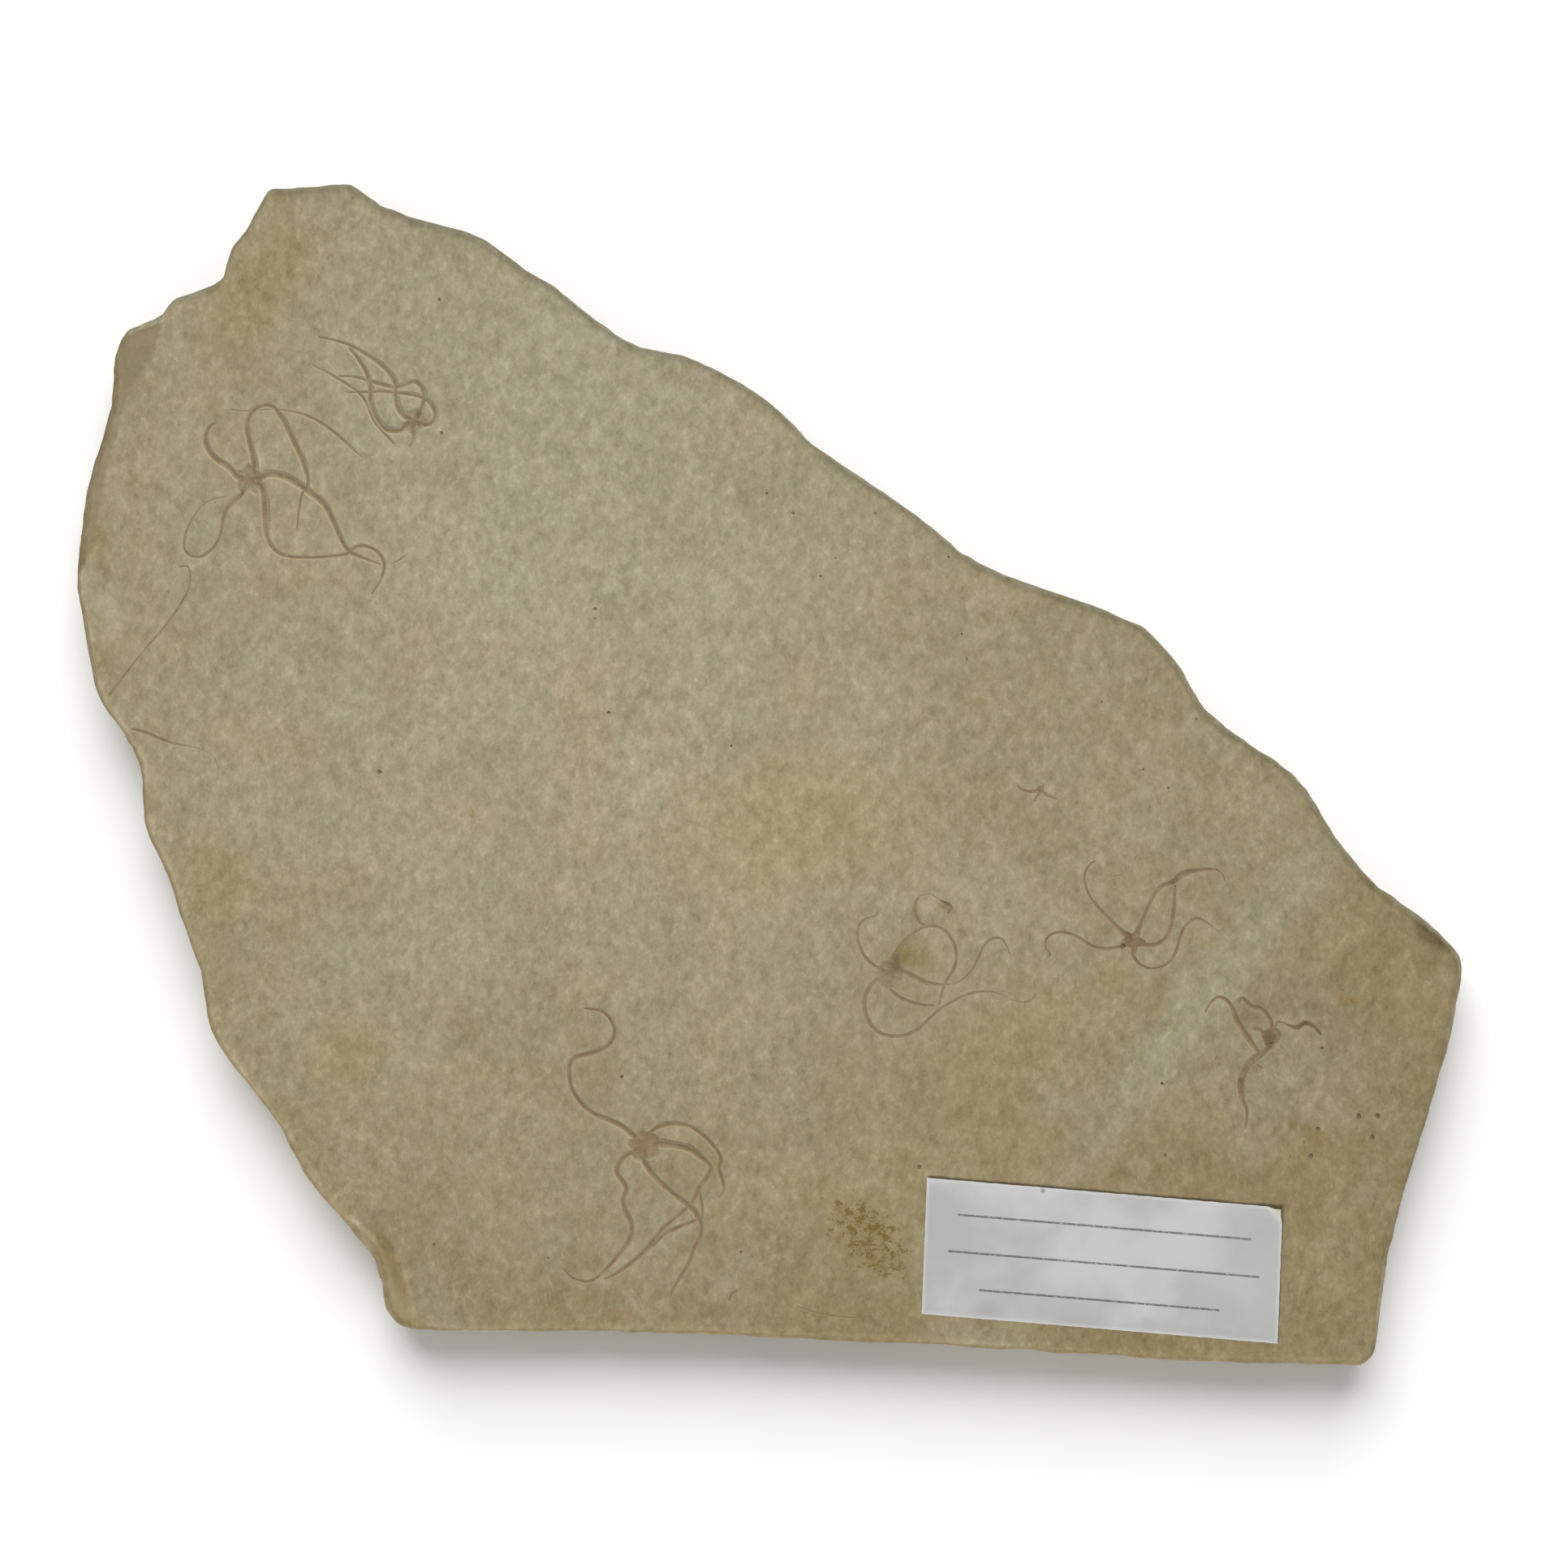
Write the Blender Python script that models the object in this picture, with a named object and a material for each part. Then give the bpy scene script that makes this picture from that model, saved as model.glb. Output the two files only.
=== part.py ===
"""Fossil brittle star slab.

A broken slab of fine-grained, bedded limestone lies flat. Brittle stars stand in low relief on its upper
face, two loose arms lie near its left edge, and a small paper label is stuck on at the lower right.

Metres, +Z up. The origin is on the underside, at the middle of the slab's box, and +X runs along its
longest extent. The lists and sizes below are in millimetres, seen from above.
"""

import math

import bmesh
import bpy
from mathutils import Vector, noise

MM = 0.001

# The slab: a closed outline and the beds that its broken edge shows.
THICKNESS = 12.0
OUTLINE = [
    (-93.5, 109.5), (-78.5, 110.5), (-73, 106.5), (-67.5, 104.5), (-61, 102.5), (-57, 101.5),
    (-53.5, 100), (-46, 94.5), (-40, 91), (-29, 82.5), (-24.5, 80), (-16.5, 78.5), (-11, 76.5), (2, 68),
    (10.5, 60), (26.5, 49.5), (33, 44), (39, 39.5), (66, 29.5), (70, 27.5), (77, 19.5), (79.5, 15),
    (81.5, 12), (85, 9), (98, 0), (106, -12), (110, -17), (114, -21), (124.5, -29), (129, -34),
    (129.5, -36), (128.5, -42.5), (126.5, -52.5), (116, -88.5), (113, -108), (112, -109.5),
    (110.5, -110.5), (77.5, -109.5), (8, -105.5), (-19.5, -104.5), (-68, -103.5), (-70.5, -102.5),
    (-72, -100.5), (-73, -94), (-75.5, -88.5), (-83.5, -79.5), (-87, -74.5), (-91.5, -66.5),
    (-101, -53.5), (-104.5, -47.5), (-106.5, -37), (-108.5, -32), (-112.5, -19), (-117, -9),
    (-117.5, -0.5), (-118, 2.5), (-121, 8), (-125, 13.5), (-126.5, 17.5), (-128.5, 30), (-129, 32),
    (-129.5, 34), (-128.5, 49.5), (-123.5, 69), (-123, 73.5), (-123, 78.5), (-122, 81), (-120.5, 83.5),
    (-114, 86), (-111.5, 89), (-104.5, 91.5), (-102.5, 93), (-100.5, 99), (-98, 102), (-94.5, 108),
]
EDGE_STEP = 4.0
CORNER_TURN = 30.0  # degrees; where the outline turns by more than this it has a corner
BEDS = [
    {"foot": 0.7, "head": 3.6, "setback": 1.2},
    {"foot": 3.9, "head": 7.2, "setback": 0.7},
    {"foot": 7.6, "head": 11.4, "setback": 0.1},
]
BED_SWING = 0.9  # how far a bed wanders in and out
BED_WAVE = 14.0  # over what length it wanders
BED_SHIFT = 10.0  # how far apart the beds lie in the noise, so that each wanders on its own
ARRIS = 0.6  # the worn rim above the top bed and under the lowest one

# Two pieces broken off the upper face: the inner edge of each scar, the reach of the break beyond the
# outline, and how deep it lies at the inner edge and at the end of its reach.
SCARS = {
    "upper_left_facet": {
        "inner": [(-112.8, 87.5), (-115.1, 79.1), (-118.9, 73.8), (-121.1, 67.4), (-124.3, 55.3),
                  (-125.8, 46.2), (-128.2, 38.6)],
        "reach": (-16.0, 4.0), "depth": (0.35, 6.0),
    },
    "lower_left_chip": {
        "inner": [(-79.4, -83.0), (-73.8, -86.4), (-70.3, -89.9), (-67.4, -96.3), (-66.2, -105.5)],
        "reach": (-14.0, -7.0), "depth": (0.3, 8.0),
    },
}
SCAR_COVER = 5.0  # how far a scar's cutter stands above the upper face

# The brittle stars. An arm's route starts at the disc and ends at its tip. A branch is a stretch of arm
# that lies over another arm and doesn't reach the disc. Arms narrow from arm_width to TIP_SHARE of it.
STARS = {
    "brittle_star_upper_left": {
        "disc": (-97, 55.1), "disc_radius": 3.3, "arm_width": 1.3,
        "arms": [
            [(-99.4, 55.6), (-101.4, 57.6), (-103.7, 59.1), (-105.1, 60.9), (-105.5, 62.7),
             (-105.2, 64.2), (-104.3, 65.3), (-103.2, 65.8)],
            [(-96.4, 57.7), (-97.8, 65.3), (-97, 67.3), (-95.5, 68.6), (-93.4, 68.9), (-91.9, 67.6),
             (-86.8, 57), (-86.4, 54.2), (-87.6, 52), (-88.5, 45.3)],
            [(-95.6, 55.3), (-93.4, 56.1), (-90.8, 55.7), (-85.5, 52.3), (-83.2, 50.3), (-78.8, 41.8),
             (-76.5, 40.6), (-72.6, 39.2)],
            [(-95.2, 53.9), (-94.6, 52), (-94.3, 46.2), (-93.7, 43.5), (-91.7, 41.3), (-89, 40.6),
             (-78.8, 41.3), (-77.9, 42.2), (-76.1, 42.7), (-73.8, 41.9), (-72.6, 40.6), (-72.1, 39.1),
             (-72.6, 36.8), (-74.6, 33.4)],
            [(-98.8, 52.3), (-101.7, 49.4), (-102.8, 44.8), (-103.8, 42.7), (-105.7, 41),
             (-107.6, 40.6), (-109.3, 41.8), (-109.5, 43.6), (-108.8, 46.2), (-106, 50.3),
             (-103.7, 51.5), (-101.4, 52)],
        ],
        "branches": [
            [(-76.1, 59.1), (-81.4, 63.9), (-84.6, 66.1), (-87.6, 67.4), (-92.3, 68.2), (-98.4, 67.9),
             (-101, 68.2)],
        ],
    },
    "brittle_star_curled": {
        "disc": (-66.7, 65.8), "disc_radius": 2.9, "arm_width": 1.0,
        "arms": [
            [(-68, 66.7), (-69.3, 68), (-70, 70.6), (-70, 72.9), (-71.4, 75.3), (-73.3, 77),
             (-78.8, 80.3), (-84.6, 81.8)],
            [(-68, 65.3), (-69.4, 64.2), (-72.1, 64.7), (-74.6, 69.4), (-74.7, 72), (-75.5, 75.2),
             (-77, 77.7), (-78.8, 79.9)],
            [(-65.5, 67.6), (-64.7, 69.9), (-65, 72), (-66.2, 73.3), (-69.9, 72.4), (-77.9, 74.3),
             (-80.9, 74.4)],
            [(-64.5, 65.3), (-63.2, 65.8), (-62.6, 67.6), (-63.6, 69.4), (-65.5, 70.6), (-70.8, 71.4),
             (-79.7, 71.4)],
            [(-66.7, 62.7), (-67.6, 60.9)],
        ],
        "branches": [
            [(-70, 61.5), (-73.8, 65.8), (-76.1, 70.5), (-80.5, 73.8), (-85.9, 76.7)],
        ],
    },
    "brittle_star_lower": {
        "disc": (-23.6, -69.6), "disc_radius": 3.3, "arm_width": 1.3,
        "arms": [
            [(-26.3, -66.8), (-28.4, -65.3), (-33.6, -63), (-36.9, -59.1), (-37.5, -56.4),
             (-37.5, -54.4), (-36.5, -53), (-31.6, -51.5), (-29.8, -50.1), (-29.1, -48.2),
             (-29.8, -45.9), (-31.3, -44.4), (-35.1, -43.6)],
            [(-22.7, -67.3), (-20.9, -65.9), (-18.7, -65.3), (-16, -65.5), (-13.3, -66.8),
             (-9.3, -71.5), (-9.6, -73.8), (-8.9, -75.9), (-8.7, -77.7), (-9.8, -79.3)],
            [(-20.3, -69.1), (-15.1, -70), (-13, -71.5), (-11.1, -73.5), (-11.6, -75), (-13.3, -77.3),
             (-14.6, -80), (-20.4, -85.3), (-23.1, -88.8), (-28.9, -93.4), (-31.2, -94.4)],
            [(-23.6, -72), (-22.2, -74.4), (-20.4, -76.4), (-14.2, -81.7), (-13, -84), (-13, -86.2),
             (-14.2, -88.4), (-15.1, -91.1), (-18, -96), (-18.9, -98.2)],
            [(-26.9, -71.2), (-28.3, -72.9), (-28.6, -74.4), (-26.9, -77.3), (-27.5, -79.6),
             (-27.1, -81.7), (-26, -84), (-26.3, -86.7), (-29.4, -91.1), (-33.3, -94.6), (-35.6, -94.6),
             (-37.4, -93.8), (-38.8, -92.2)],
        ],
        "branches": [
            [(-13.3, -77.6), (-12.7, -80.9), (-12.7, -83.5)],
            [(-13.4, -83.1), (-19.6, -85.9), (-22.2, -88.4)],
        ],
    },
    "brittle_star_ring": {
        "disc": (22.2, -37.5), "disc_radius": 2.8, "arm_width": 1.2,
        "arms": [
            [(19.8, -36), (18.1, -34.5), (16.9, -32.5), (16.3, -30.1), (16.6, -28.3), (17.7, -27.1),
             (19.5, -26.5), (20.7, -25)],
            [(20.1, -38.3), (18.6, -39.8), (17.7, -41.8), (17.7, -44.1), (18.6, -46.5), (20.3, -48.2),
             (22.5, -48.9), (25, -48.8), (27.2, -47.9), (31.9, -43.8), (36.5, -41.3), (39.2, -40.6),
             (41.9, -40.7), (45.4, -42.2), (47.7, -42.6), (49.2, -41.8), (49.7, -40.6)],
            [(22.5, -40.1), (24.2, -41.6), (26.5, -42.6), (28.7, -43.2), (31, -43.2)],
            [(24.5, -36.8), (28.7, -38.8), (31, -39.2), (33.8, -39.2), (35.7, -38.5), (37.7, -36.6),
             (40.1, -31.9), (41.5, -30.7), (43.2, -30.7), (44.2, -32.1), (45, -34.1)],
            [(24.5, -35.6), (24.2, -34.5), (25.3, -31), (27.7, -29.1), (29.5, -28.4), (31.5, -28.6),
             (33.4, -30.1), (34.5, -32.1), (34.8, -34.5), (34.1, -36.8), (32.8, -38.8), (31.5, -43.3)],
        ],
        "branches": [
            [(29.5, -28.4), (28, -27.7), (27.1, -26.2), (27.2, -24), (28, -22.8), (30, -22.4),
             (31.5, -23.3), (33.8, -24.8), (33, -26.2)],
        ],
    },
    "brittle_star_right": {
        "disc": (67.7, -30.7), "disc_radius": 2.2, "arm_width": 1.0,
        "arms": [
            [(65.8, -29.4), (60.1, -23.3), (59.1, -21.2), (58.8, -18.7), (59.7, -16.9), (61.2, -15.9)],
            [(65.6, -32.1), (61.2, -32.4), (57.3, -30.3), (55, -29.5), (53, -29.7), (51.7, -30.7),
             (51.5, -32.5), (52.3, -33.6), (51.2, -34.8)],
            [(68.5, -29.7), (72, -22.1), (73.5, -20.7), (75.3, -20.1), (77, -18.7), (81.7, -17.7),
             (83.7, -18), (84.7, -19), (85, -20.1)],
            [(70.2, -31.8), (72, -31.8), (74, -30.4), (74.9, -28.4), (75.8, -20.3)],
            [(67.7, -33.4), (68.9, -35.3), (70.9, -36.2), (73.2, -35.9), (74.9, -34.7), (76.1, -32.4),
             (76.7, -30), (77.9, -28), (79.7, -26.9), (81.7, -27.7), (84.6, -30.3)],
        ],
        "branches": [
        ],
    },
    "brittle_star_far_right": {
        "disc": (93.7, -48.6), "disc_radius": 1.8, "arm_width": 0.9,
        "arms": [
            [(93.7, -46.6), (93.1, -45.1), (91.7, -43.8), (89.9, -43.3), (88.2, -41.9), (87.2, -43.2)],
            [(94.9, -46.2), (98.4, -47.3), (99.9, -46.5), (101.4, -47), (103.2, -48.9)],
            [(93.4, -50.9), (89.9, -53.8), (88.5, -55.9), (87.9, -58.2), (88.2, -60.6), (89.1, -62.9),
             (88.8, -66.4)],
            [(92.9, -48.9), (91.7, -47.9), (89.9, -47.4)],
        ],
        "branches": [
            [(91.7, -52.6), (87.2, -45.9), (86.5, -43.9), (85.3, -42.2), (83.8, -41.6), (82.3, -42.7),
             (81.2, -44.7)],
        ],
    },
}
JUVENILE = {
    "width": 0.9,
    "rays": [
        [(50.8, -2.9), (48.8, -3.2), (47.1, -2.8), (46.0, -1.9)],
        [(50.2, -2.9), (52.0, -4.0), (53.9, -4.6)],
        [(50.9, -2.4), (51.3, -1.4)],
        [(51.2, -2.4), (50.1, -3.8), (49.2, -5.2)],
    ],
}
LOOSE_ARMS = {
    "arm_fragment_left_edge": [(-110.7, 38.8), (-108.8, 38.8), (-108.4, 36.8), (-108.8, 34.4),
                               (-110.7, 31.0), (-113.1, 27.7), (-117.8, 22.2), (-123.0, 15.4)],
    "arm_fragment_left_hook": [(-119.6, 8.6), (-117.0, 7.9), (-111.6, 5.8), (-108.2, 5.2),
                               (-104.4, 3.6), (-103.1, 1.0), (-103.5, -1.0), (-104.7, -2.2)],
}
LOOSE_ARM_WIDTH = 1.1
TIP_SHARE = 0.4
RIDGE_HEIGHT = 0.5  # share of an arm's width by which it stands up
RIDGE_SECTION = [(-1.0, 0.0), (-0.72, 0.72), (0.0, 1.0), (0.72, 0.72), (1.0, 0.0)]  # across, up
ARM_STEP = 2.0
BLUNT_TIP = 0.5  # share of the tip's width that its last face has
DISC_SECTION = [(1.0, 0.0), (0.93, 0.45), (0.62, 0.85)]  # out, up
DISC_HEIGHT = 0.75
DISC_LOBE = 0.09  # how far the disc bulges between two arms
DISC_SIDES = 25

# The label
LABEL_SIZE = (66.7, 25.4, 0.25)
LABEL_CENTRE = (62.1, -90.8)
LABEL_TURN = -4.6  # degrees
LABEL_CORNER = 0.8

SEAT = 0.1  # gap between the stone and what lies on it
CURVE_POINTS = 12  # points computed between two given points of a curve

STONE_COLOUR = (0.36, 0.32, 0.21)
FOSSIL_COLOUR = (0.24, 0.18, 0.11)
PAPER_COLOUR = (0.60, 0.61, 0.61)


def clear_scene():
    for item in list(bpy.data.objects):
        bpy.data.objects.remove(item, do_unlink=True)


def make_material(name, colour, roughness):
    material = bpy.data.materials.new(name)
    material.use_nodes = True
    shader = material.node_tree.nodes["Principled BSDF"]
    shader.inputs["Base Color"].default_value = (*colour, 1.0)
    shader.inputs["Roughness"].default_value = roughness
    shader.inputs["Metallic"].default_value = 0.0
    return material


def spline(points, step):
    """Points about step apart along a smooth curve through the given ones."""
    points = [Vector(p) for p in points]
    run = [2 * points[0] - points[1], *points, 2 * points[-1] - points[-2]]
    fine = []
    for before, start, end, after in zip(run, run[1:], run[2:], run[3:]):
        fine += [blend_four(before, start, end, after, k / CURVE_POINTS) for k in range(CURVE_POINTS)]
    fine.append(points[-1])
    lengths = [0.0]
    for a, b in zip(fine, fine[1:]):
        lengths.append(lengths[-1] + (b - a).length)
    count = max(2, round(lengths[-1] / step))
    stations, k = [], 0
    for i in range(count + 1):
        along = lengths[-1] * i / count
        while lengths[k + 1] < along and k < len(fine) - 2:
            k += 1
        span = lengths[k + 1] - lengths[k]
        stations.append(fine[k].lerp(fine[k + 1], (along - lengths[k]) / span))
    return stations


def broken_edge(points, step):
    """A closed line through all the given points, smooth between its corners."""
    points = [Vector(p) for p in points]
    count = len(points)
    line = []
    for i, start in enumerate(points):
        before, end, after = points[i - 1], points[(i + 1) % count], points[(i + 2) % count]
        if is_corner(before, start, end):
            before = 2 * start - end
        if is_corner(start, end, after):
            after = 2 * end - start
        pieces = max(1, round((end - start).length / step))
        line += [blend_four(before, start, end, after, k / pieces) for k in range(pieces)]
    return line


def is_corner(before, point, after):
    return (point - before).angle(after - point) > math.radians(CORNER_TURN)


def blend_four(before, start, end, after, t):
    """Centripetal Catmull-Rom curve from start to end."""
    knots = [0.0]
    for a, b in ((before, start), (start, end), (end, after)):
        knots.append(knots[-1] + max((b - a).length, 0.001) ** 0.5)
    k0, k1, k2, k3 = knots
    at = k1 + (k2 - k1) * t
    low = before.lerp(start, (at - k0) / (k1 - k0))
    mid = start.lerp(end, (at - k1) / (k2 - k1))
    high = end.lerp(after, (at - k2) / (k3 - k2))
    return low.lerp(mid, (at - k0) / (k2 - k0)).lerp(mid.lerp(high, (at - k1) / (k3 - k1)), t)


def finish_object(name, bm, material, z_shift=0.0):
    """A mesh object in metres from a bmesh in millimetres, with its faces turned outwards."""
    bmesh.ops.translate(bm, verts=bm.verts, vec=(0.0, 0.0, z_shift))
    bmesh.ops.scale(bm, verts=bm.verts, vec=(MM, MM, MM))
    bmesh.ops.recalc_face_normals(bm, faces=bm.faces)
    mesh = bpy.data.meshes.new(name)
    bm.to_mesh(mesh)
    bm.free()
    mesh.materials.append(material)
    item = bpy.data.objects.new(name, mesh)
    bpy.context.scene.collection.objects.link(item)
    return item


def loft(bm, rings, cap=True):
    """Joins rings of points, which all have the same count, and closes both ends."""
    loops = [[bm.verts.new(p) for p in ring] for ring in rings]
    for low, high in zip(loops, loops[1:]):
        for i in range(len(low)):
            j = (i + 1) % len(low)
            bm.faces.new((low[i], low[j], high[j], high[i]))
    if cap:
        bm.faces.new(loops[0])
        bm.faces.new(loops[-1])
    return loops


def hide_helper(item):
    item.hide_render = True
    item.display_type = "WIRE"


def inward_normals(outline):
    """Unit vectors into a loop that runs clockwise."""
    normals = []
    for i, point in enumerate(outline):
        along = outline[(i + 1) % len(outline)] - outline[i - 1]
        normals.append(Vector((along.y, -along.x)).normalized())
    return normals


def bed_setbacks(outline):
    """How far each bed steps back at each point. One bed always reaches the outline."""
    table = []
    for point in outline:
        place = point / BED_WAVE
        row = [bed["setback"] + BED_SWING * noise.noise(Vector((place.x, place.y, BED_SHIFT * k)))
               for k, bed in enumerate(BEDS)]
        nearest = min(row)
        table.append([value - nearest for value in row])
    return table


def make_slab(material):
    outline = broken_edge(OUTLINE, EDGE_STEP)
    normals = inward_normals(outline)
    setbacks = bed_setbacks(outline)

    def ring(height, k, extra=0.0):
        return [(*(p + n * (row[k] + extra)), height) for p, n, row in zip(outline, normals, setbacks)]

    rings = [ring(0.0, 0, ARRIS)]
    for k, bed in enumerate(BEDS):
        rings += [ring(bed["foot"], k), ring(bed["head"], k)]
    rings.append(ring(THICKNESS, len(BEDS) - 1, ARRIS))
    bm = bmesh.new()
    loft(bm, rings)
    slab = finish_object("slab", bm, material)
    for name, scar in SCARS.items():
        cut = slab.modifiers.new(name, "BOOLEAN")
        cut.operation = "DIFFERENCE"
        cut.solver = "EXACT"
        cut.object = make_scar_cutter(name, scar, material)
    return slab


def make_scar_cutter(name, scar, material):
    """A wedge over the broken-off piece: its floor falls from the scar's inner edge outwards."""
    reach = Vector(scar["reach"])
    shallow, deep = scar["depth"]
    rings = []
    for inner in spline(scar["inner"], EDGE_STEP):
        outer = inner + reach
        rings.append([(*inner, THICKNESS - shallow), (*outer, THICKNESS - deep),
                      (*outer, THICKNESS + SCAR_COVER), (*inner, THICKNESS + SCAR_COVER)])
    bm = bmesh.new()
    loft(bm, rings)
    cutter = finish_object(name + "_cutter", bm, material)
    hide_helper(cutter)
    return cutter


def make_ridge(name, route, width, material):
    """A low, tapering ridge along a route: one arm, or a stretch of one."""
    stations = spline(route, ARM_STEP)
    last = len(stations) - 1
    rings = []
    for i, point in enumerate(stations):
        along = (stations[min(i + 1, last)] - stations[max(i - 1, 0)]).normalized()
        across = Vector((-along.y, along.x))
        here = width * (1.0 - (1.0 - TIP_SHARE) * i / last) * (BLUNT_TIP if i == last else 1.0)
        rings.append([(*(point + across * side * here / 2), up * here * RIDGE_HEIGHT)
                      for side, up in RIDGE_SECTION])
    bm = bmesh.new()
    loft(bm, rings)
    return finish_object(name, bm, material, THICKNESS + SEAT)


def lobe_phase(centre, arms):
    """The turn that puts the disc's five lobes between its arms."""
    total = Vector((0.0, 0.0))
    for route in arms:
        out = Vector(route[0]) - centre
        angle = 5 * math.atan2(out.y, out.x)
        total += Vector((math.cos(angle), math.sin(angle)))
    return math.atan2(total.y, total.x)


def make_disc(name, star, material):
    centre = Vector(star["disc"])
    phase = lobe_phase(centre, star["arms"])
    rings = []
    for out, up in DISC_SECTION:
        ring = []
        for i in range(DISC_SIDES):
            angle = 2 * math.pi * i / DISC_SIDES
            radius = star["disc_radius"] * out * (1 - DISC_LOBE * math.cos(5 * angle - phase))
            ring.append((centre.x + radius * math.cos(angle), centre.y + radius * math.sin(angle),
                         up * DISC_HEIGHT))
        rings.append(ring)
    bm = bmesh.new()
    loops = loft(bm, rings, cap=False)
    bm.faces.new(loops[0])
    crown = bm.verts.new((centre.x, centre.y, DISC_HEIGHT))
    for i in range(DISC_SIDES):
        bm.faces.new((loops[-1][i], loops[-1][(i + 1) % DISC_SIDES], crown))
    return finish_object(name, bm, material, THICKNESS + SEAT)


def join_ridges(item, routes, width, material):
    """Joins ridges to an object, so that it stays one closed body."""
    helpers = bpy.data.collections.new(item.name + "_arms")
    bpy.context.scene.collection.children.link(helpers)
    for k, route in enumerate(routes):
        ridge = make_ridge(item.name + "_arm_" + str(k + 1), route, width, material)
        bpy.context.scene.collection.objects.unlink(ridge)
        helpers.objects.link(ridge)
        hide_helper(ridge)
    union = item.modifiers.new("arms", "BOOLEAN")
    union.operation = "UNION"
    union.solver = "EXACT"
    union.operand_type = "COLLECTION"
    union.collection = helpers


def make_star(name, star, material):
    disc = make_disc(name, star, material)
    arms = [[star["disc"], *route] for route in star["arms"]]
    join_ridges(disc, arms + star["branches"], star["arm_width"], material)
    return disc


def make_juvenile(material):
    first, *others = JUVENILE["rays"]
    body = make_ridge("brittle_star_juvenile", first, JUVENILE["width"], material)
    join_ridges(body, others, JUVENILE["width"], material)
    return body


def make_label(material):
    long, wide, thick = LABEL_SIZE
    corner = LABEL_CORNER
    ring = []
    for sx, sy in ((1, 1), (-1, 1), (-1, -1), (1, -1)):
        ends = [(sx * long / 2, sy * (wide / 2 - corner)), (sx * (long / 2 - corner), sy * wide / 2)]
        ring += ends if sx == sy else reversed(ends)
    bm = bmesh.new()
    loft(bm, [[(x, y, z) for x, y in ring] for z in (0.0, thick)])
    label = finish_object("label", bm, material)
    label.location = (LABEL_CENTRE[0] * MM, LABEL_CENTRE[1] * MM, (THICKNESS + SEAT) * MM)
    label.rotation_euler = (0.0, 0.0, math.radians(LABEL_TURN))
    return label


def main():
    clear_scene()
    stone = make_material("limestone", STONE_COLOUR, 0.85)
    fossil = make_material("fossil_calcite", FOSSIL_COLOUR, 0.7)
    paper = make_material("label_paper", PAPER_COLOUR, 0.6)
    make_slab(stone)
    for name, star in STARS.items():
        make_star(name, star, fossil)
    make_juvenile(fossil)
    for name, route in LOOSE_ARMS.items():
        make_ridge(name, route, LOOSE_ARM_WIDTH, fossil)
    make_label(paper)


main()
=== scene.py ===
"""Looks of the fossil brittle star slab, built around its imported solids.

Positions and sizes in the lists are in millimetres, in the part's frame, seen from above. Colours are sRGB
values from 0 to 255. Heights are measured from the underside of the slab.
"""

import math
import random

import bmesh
import bpy
import numpy as np
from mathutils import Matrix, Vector, noise
from mathutils.bvhtree import BVHTree
from mathutils.geometry import delaunay_2d_cdt
from mathutils.kdtree import KDTree


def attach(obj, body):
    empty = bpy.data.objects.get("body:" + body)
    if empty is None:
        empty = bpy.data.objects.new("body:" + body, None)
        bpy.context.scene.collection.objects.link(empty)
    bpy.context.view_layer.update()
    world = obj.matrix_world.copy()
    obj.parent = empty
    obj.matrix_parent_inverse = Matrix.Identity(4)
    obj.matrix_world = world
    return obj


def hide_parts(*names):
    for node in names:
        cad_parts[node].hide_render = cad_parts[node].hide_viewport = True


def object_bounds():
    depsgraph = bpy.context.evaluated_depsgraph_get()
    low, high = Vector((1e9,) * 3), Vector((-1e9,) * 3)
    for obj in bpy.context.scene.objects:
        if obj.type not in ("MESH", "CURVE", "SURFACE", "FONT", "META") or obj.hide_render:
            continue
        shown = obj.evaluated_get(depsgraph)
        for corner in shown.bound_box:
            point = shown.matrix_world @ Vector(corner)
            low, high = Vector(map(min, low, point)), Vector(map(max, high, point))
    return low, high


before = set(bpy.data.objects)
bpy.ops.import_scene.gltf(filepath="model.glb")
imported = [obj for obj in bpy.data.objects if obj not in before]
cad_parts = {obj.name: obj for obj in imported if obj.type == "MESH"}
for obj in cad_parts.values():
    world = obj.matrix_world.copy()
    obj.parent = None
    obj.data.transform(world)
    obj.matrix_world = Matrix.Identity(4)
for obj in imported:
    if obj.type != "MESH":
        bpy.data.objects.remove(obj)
cad_low, cad_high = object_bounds()

MM = 0.001

# ------------------------------------------------------------------ the slab's surface
TOP = 12.0  # height of the upper face
SECTION_HEIGHT = 5.6  # below both scars, where the outline is read from the solid
RING_STEP = 0.72  # spacing of the points round the broken edge
SIDE_ROWS = 24
TOP_STEP = 1.08  # spacing of the points on the upper face
FINE_STEP = 0.64  # the same, close to a fossil and on a scar's edge
FINE_ZONE = 2.2
UNDER_STEP = 2.3
RAY_START = 3.0  # how far outside the outline a ray starts
RAY_MARGIN = 0.15  # rays stay this far inside the upper and lower edges
RIM_PROBES = (0.9, 1.5, 2.1)  # how far inside the outline the upper rim's height is read
RIM_STEP = 0.8  # a greater step down between two probes is a ledge, not the rim
RIM_BAND = 0.8  # the sides hardly wander within this distance of the rim
PROUD = 0.2  # how far the sides may stand outside the solid's furthest bed

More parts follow.
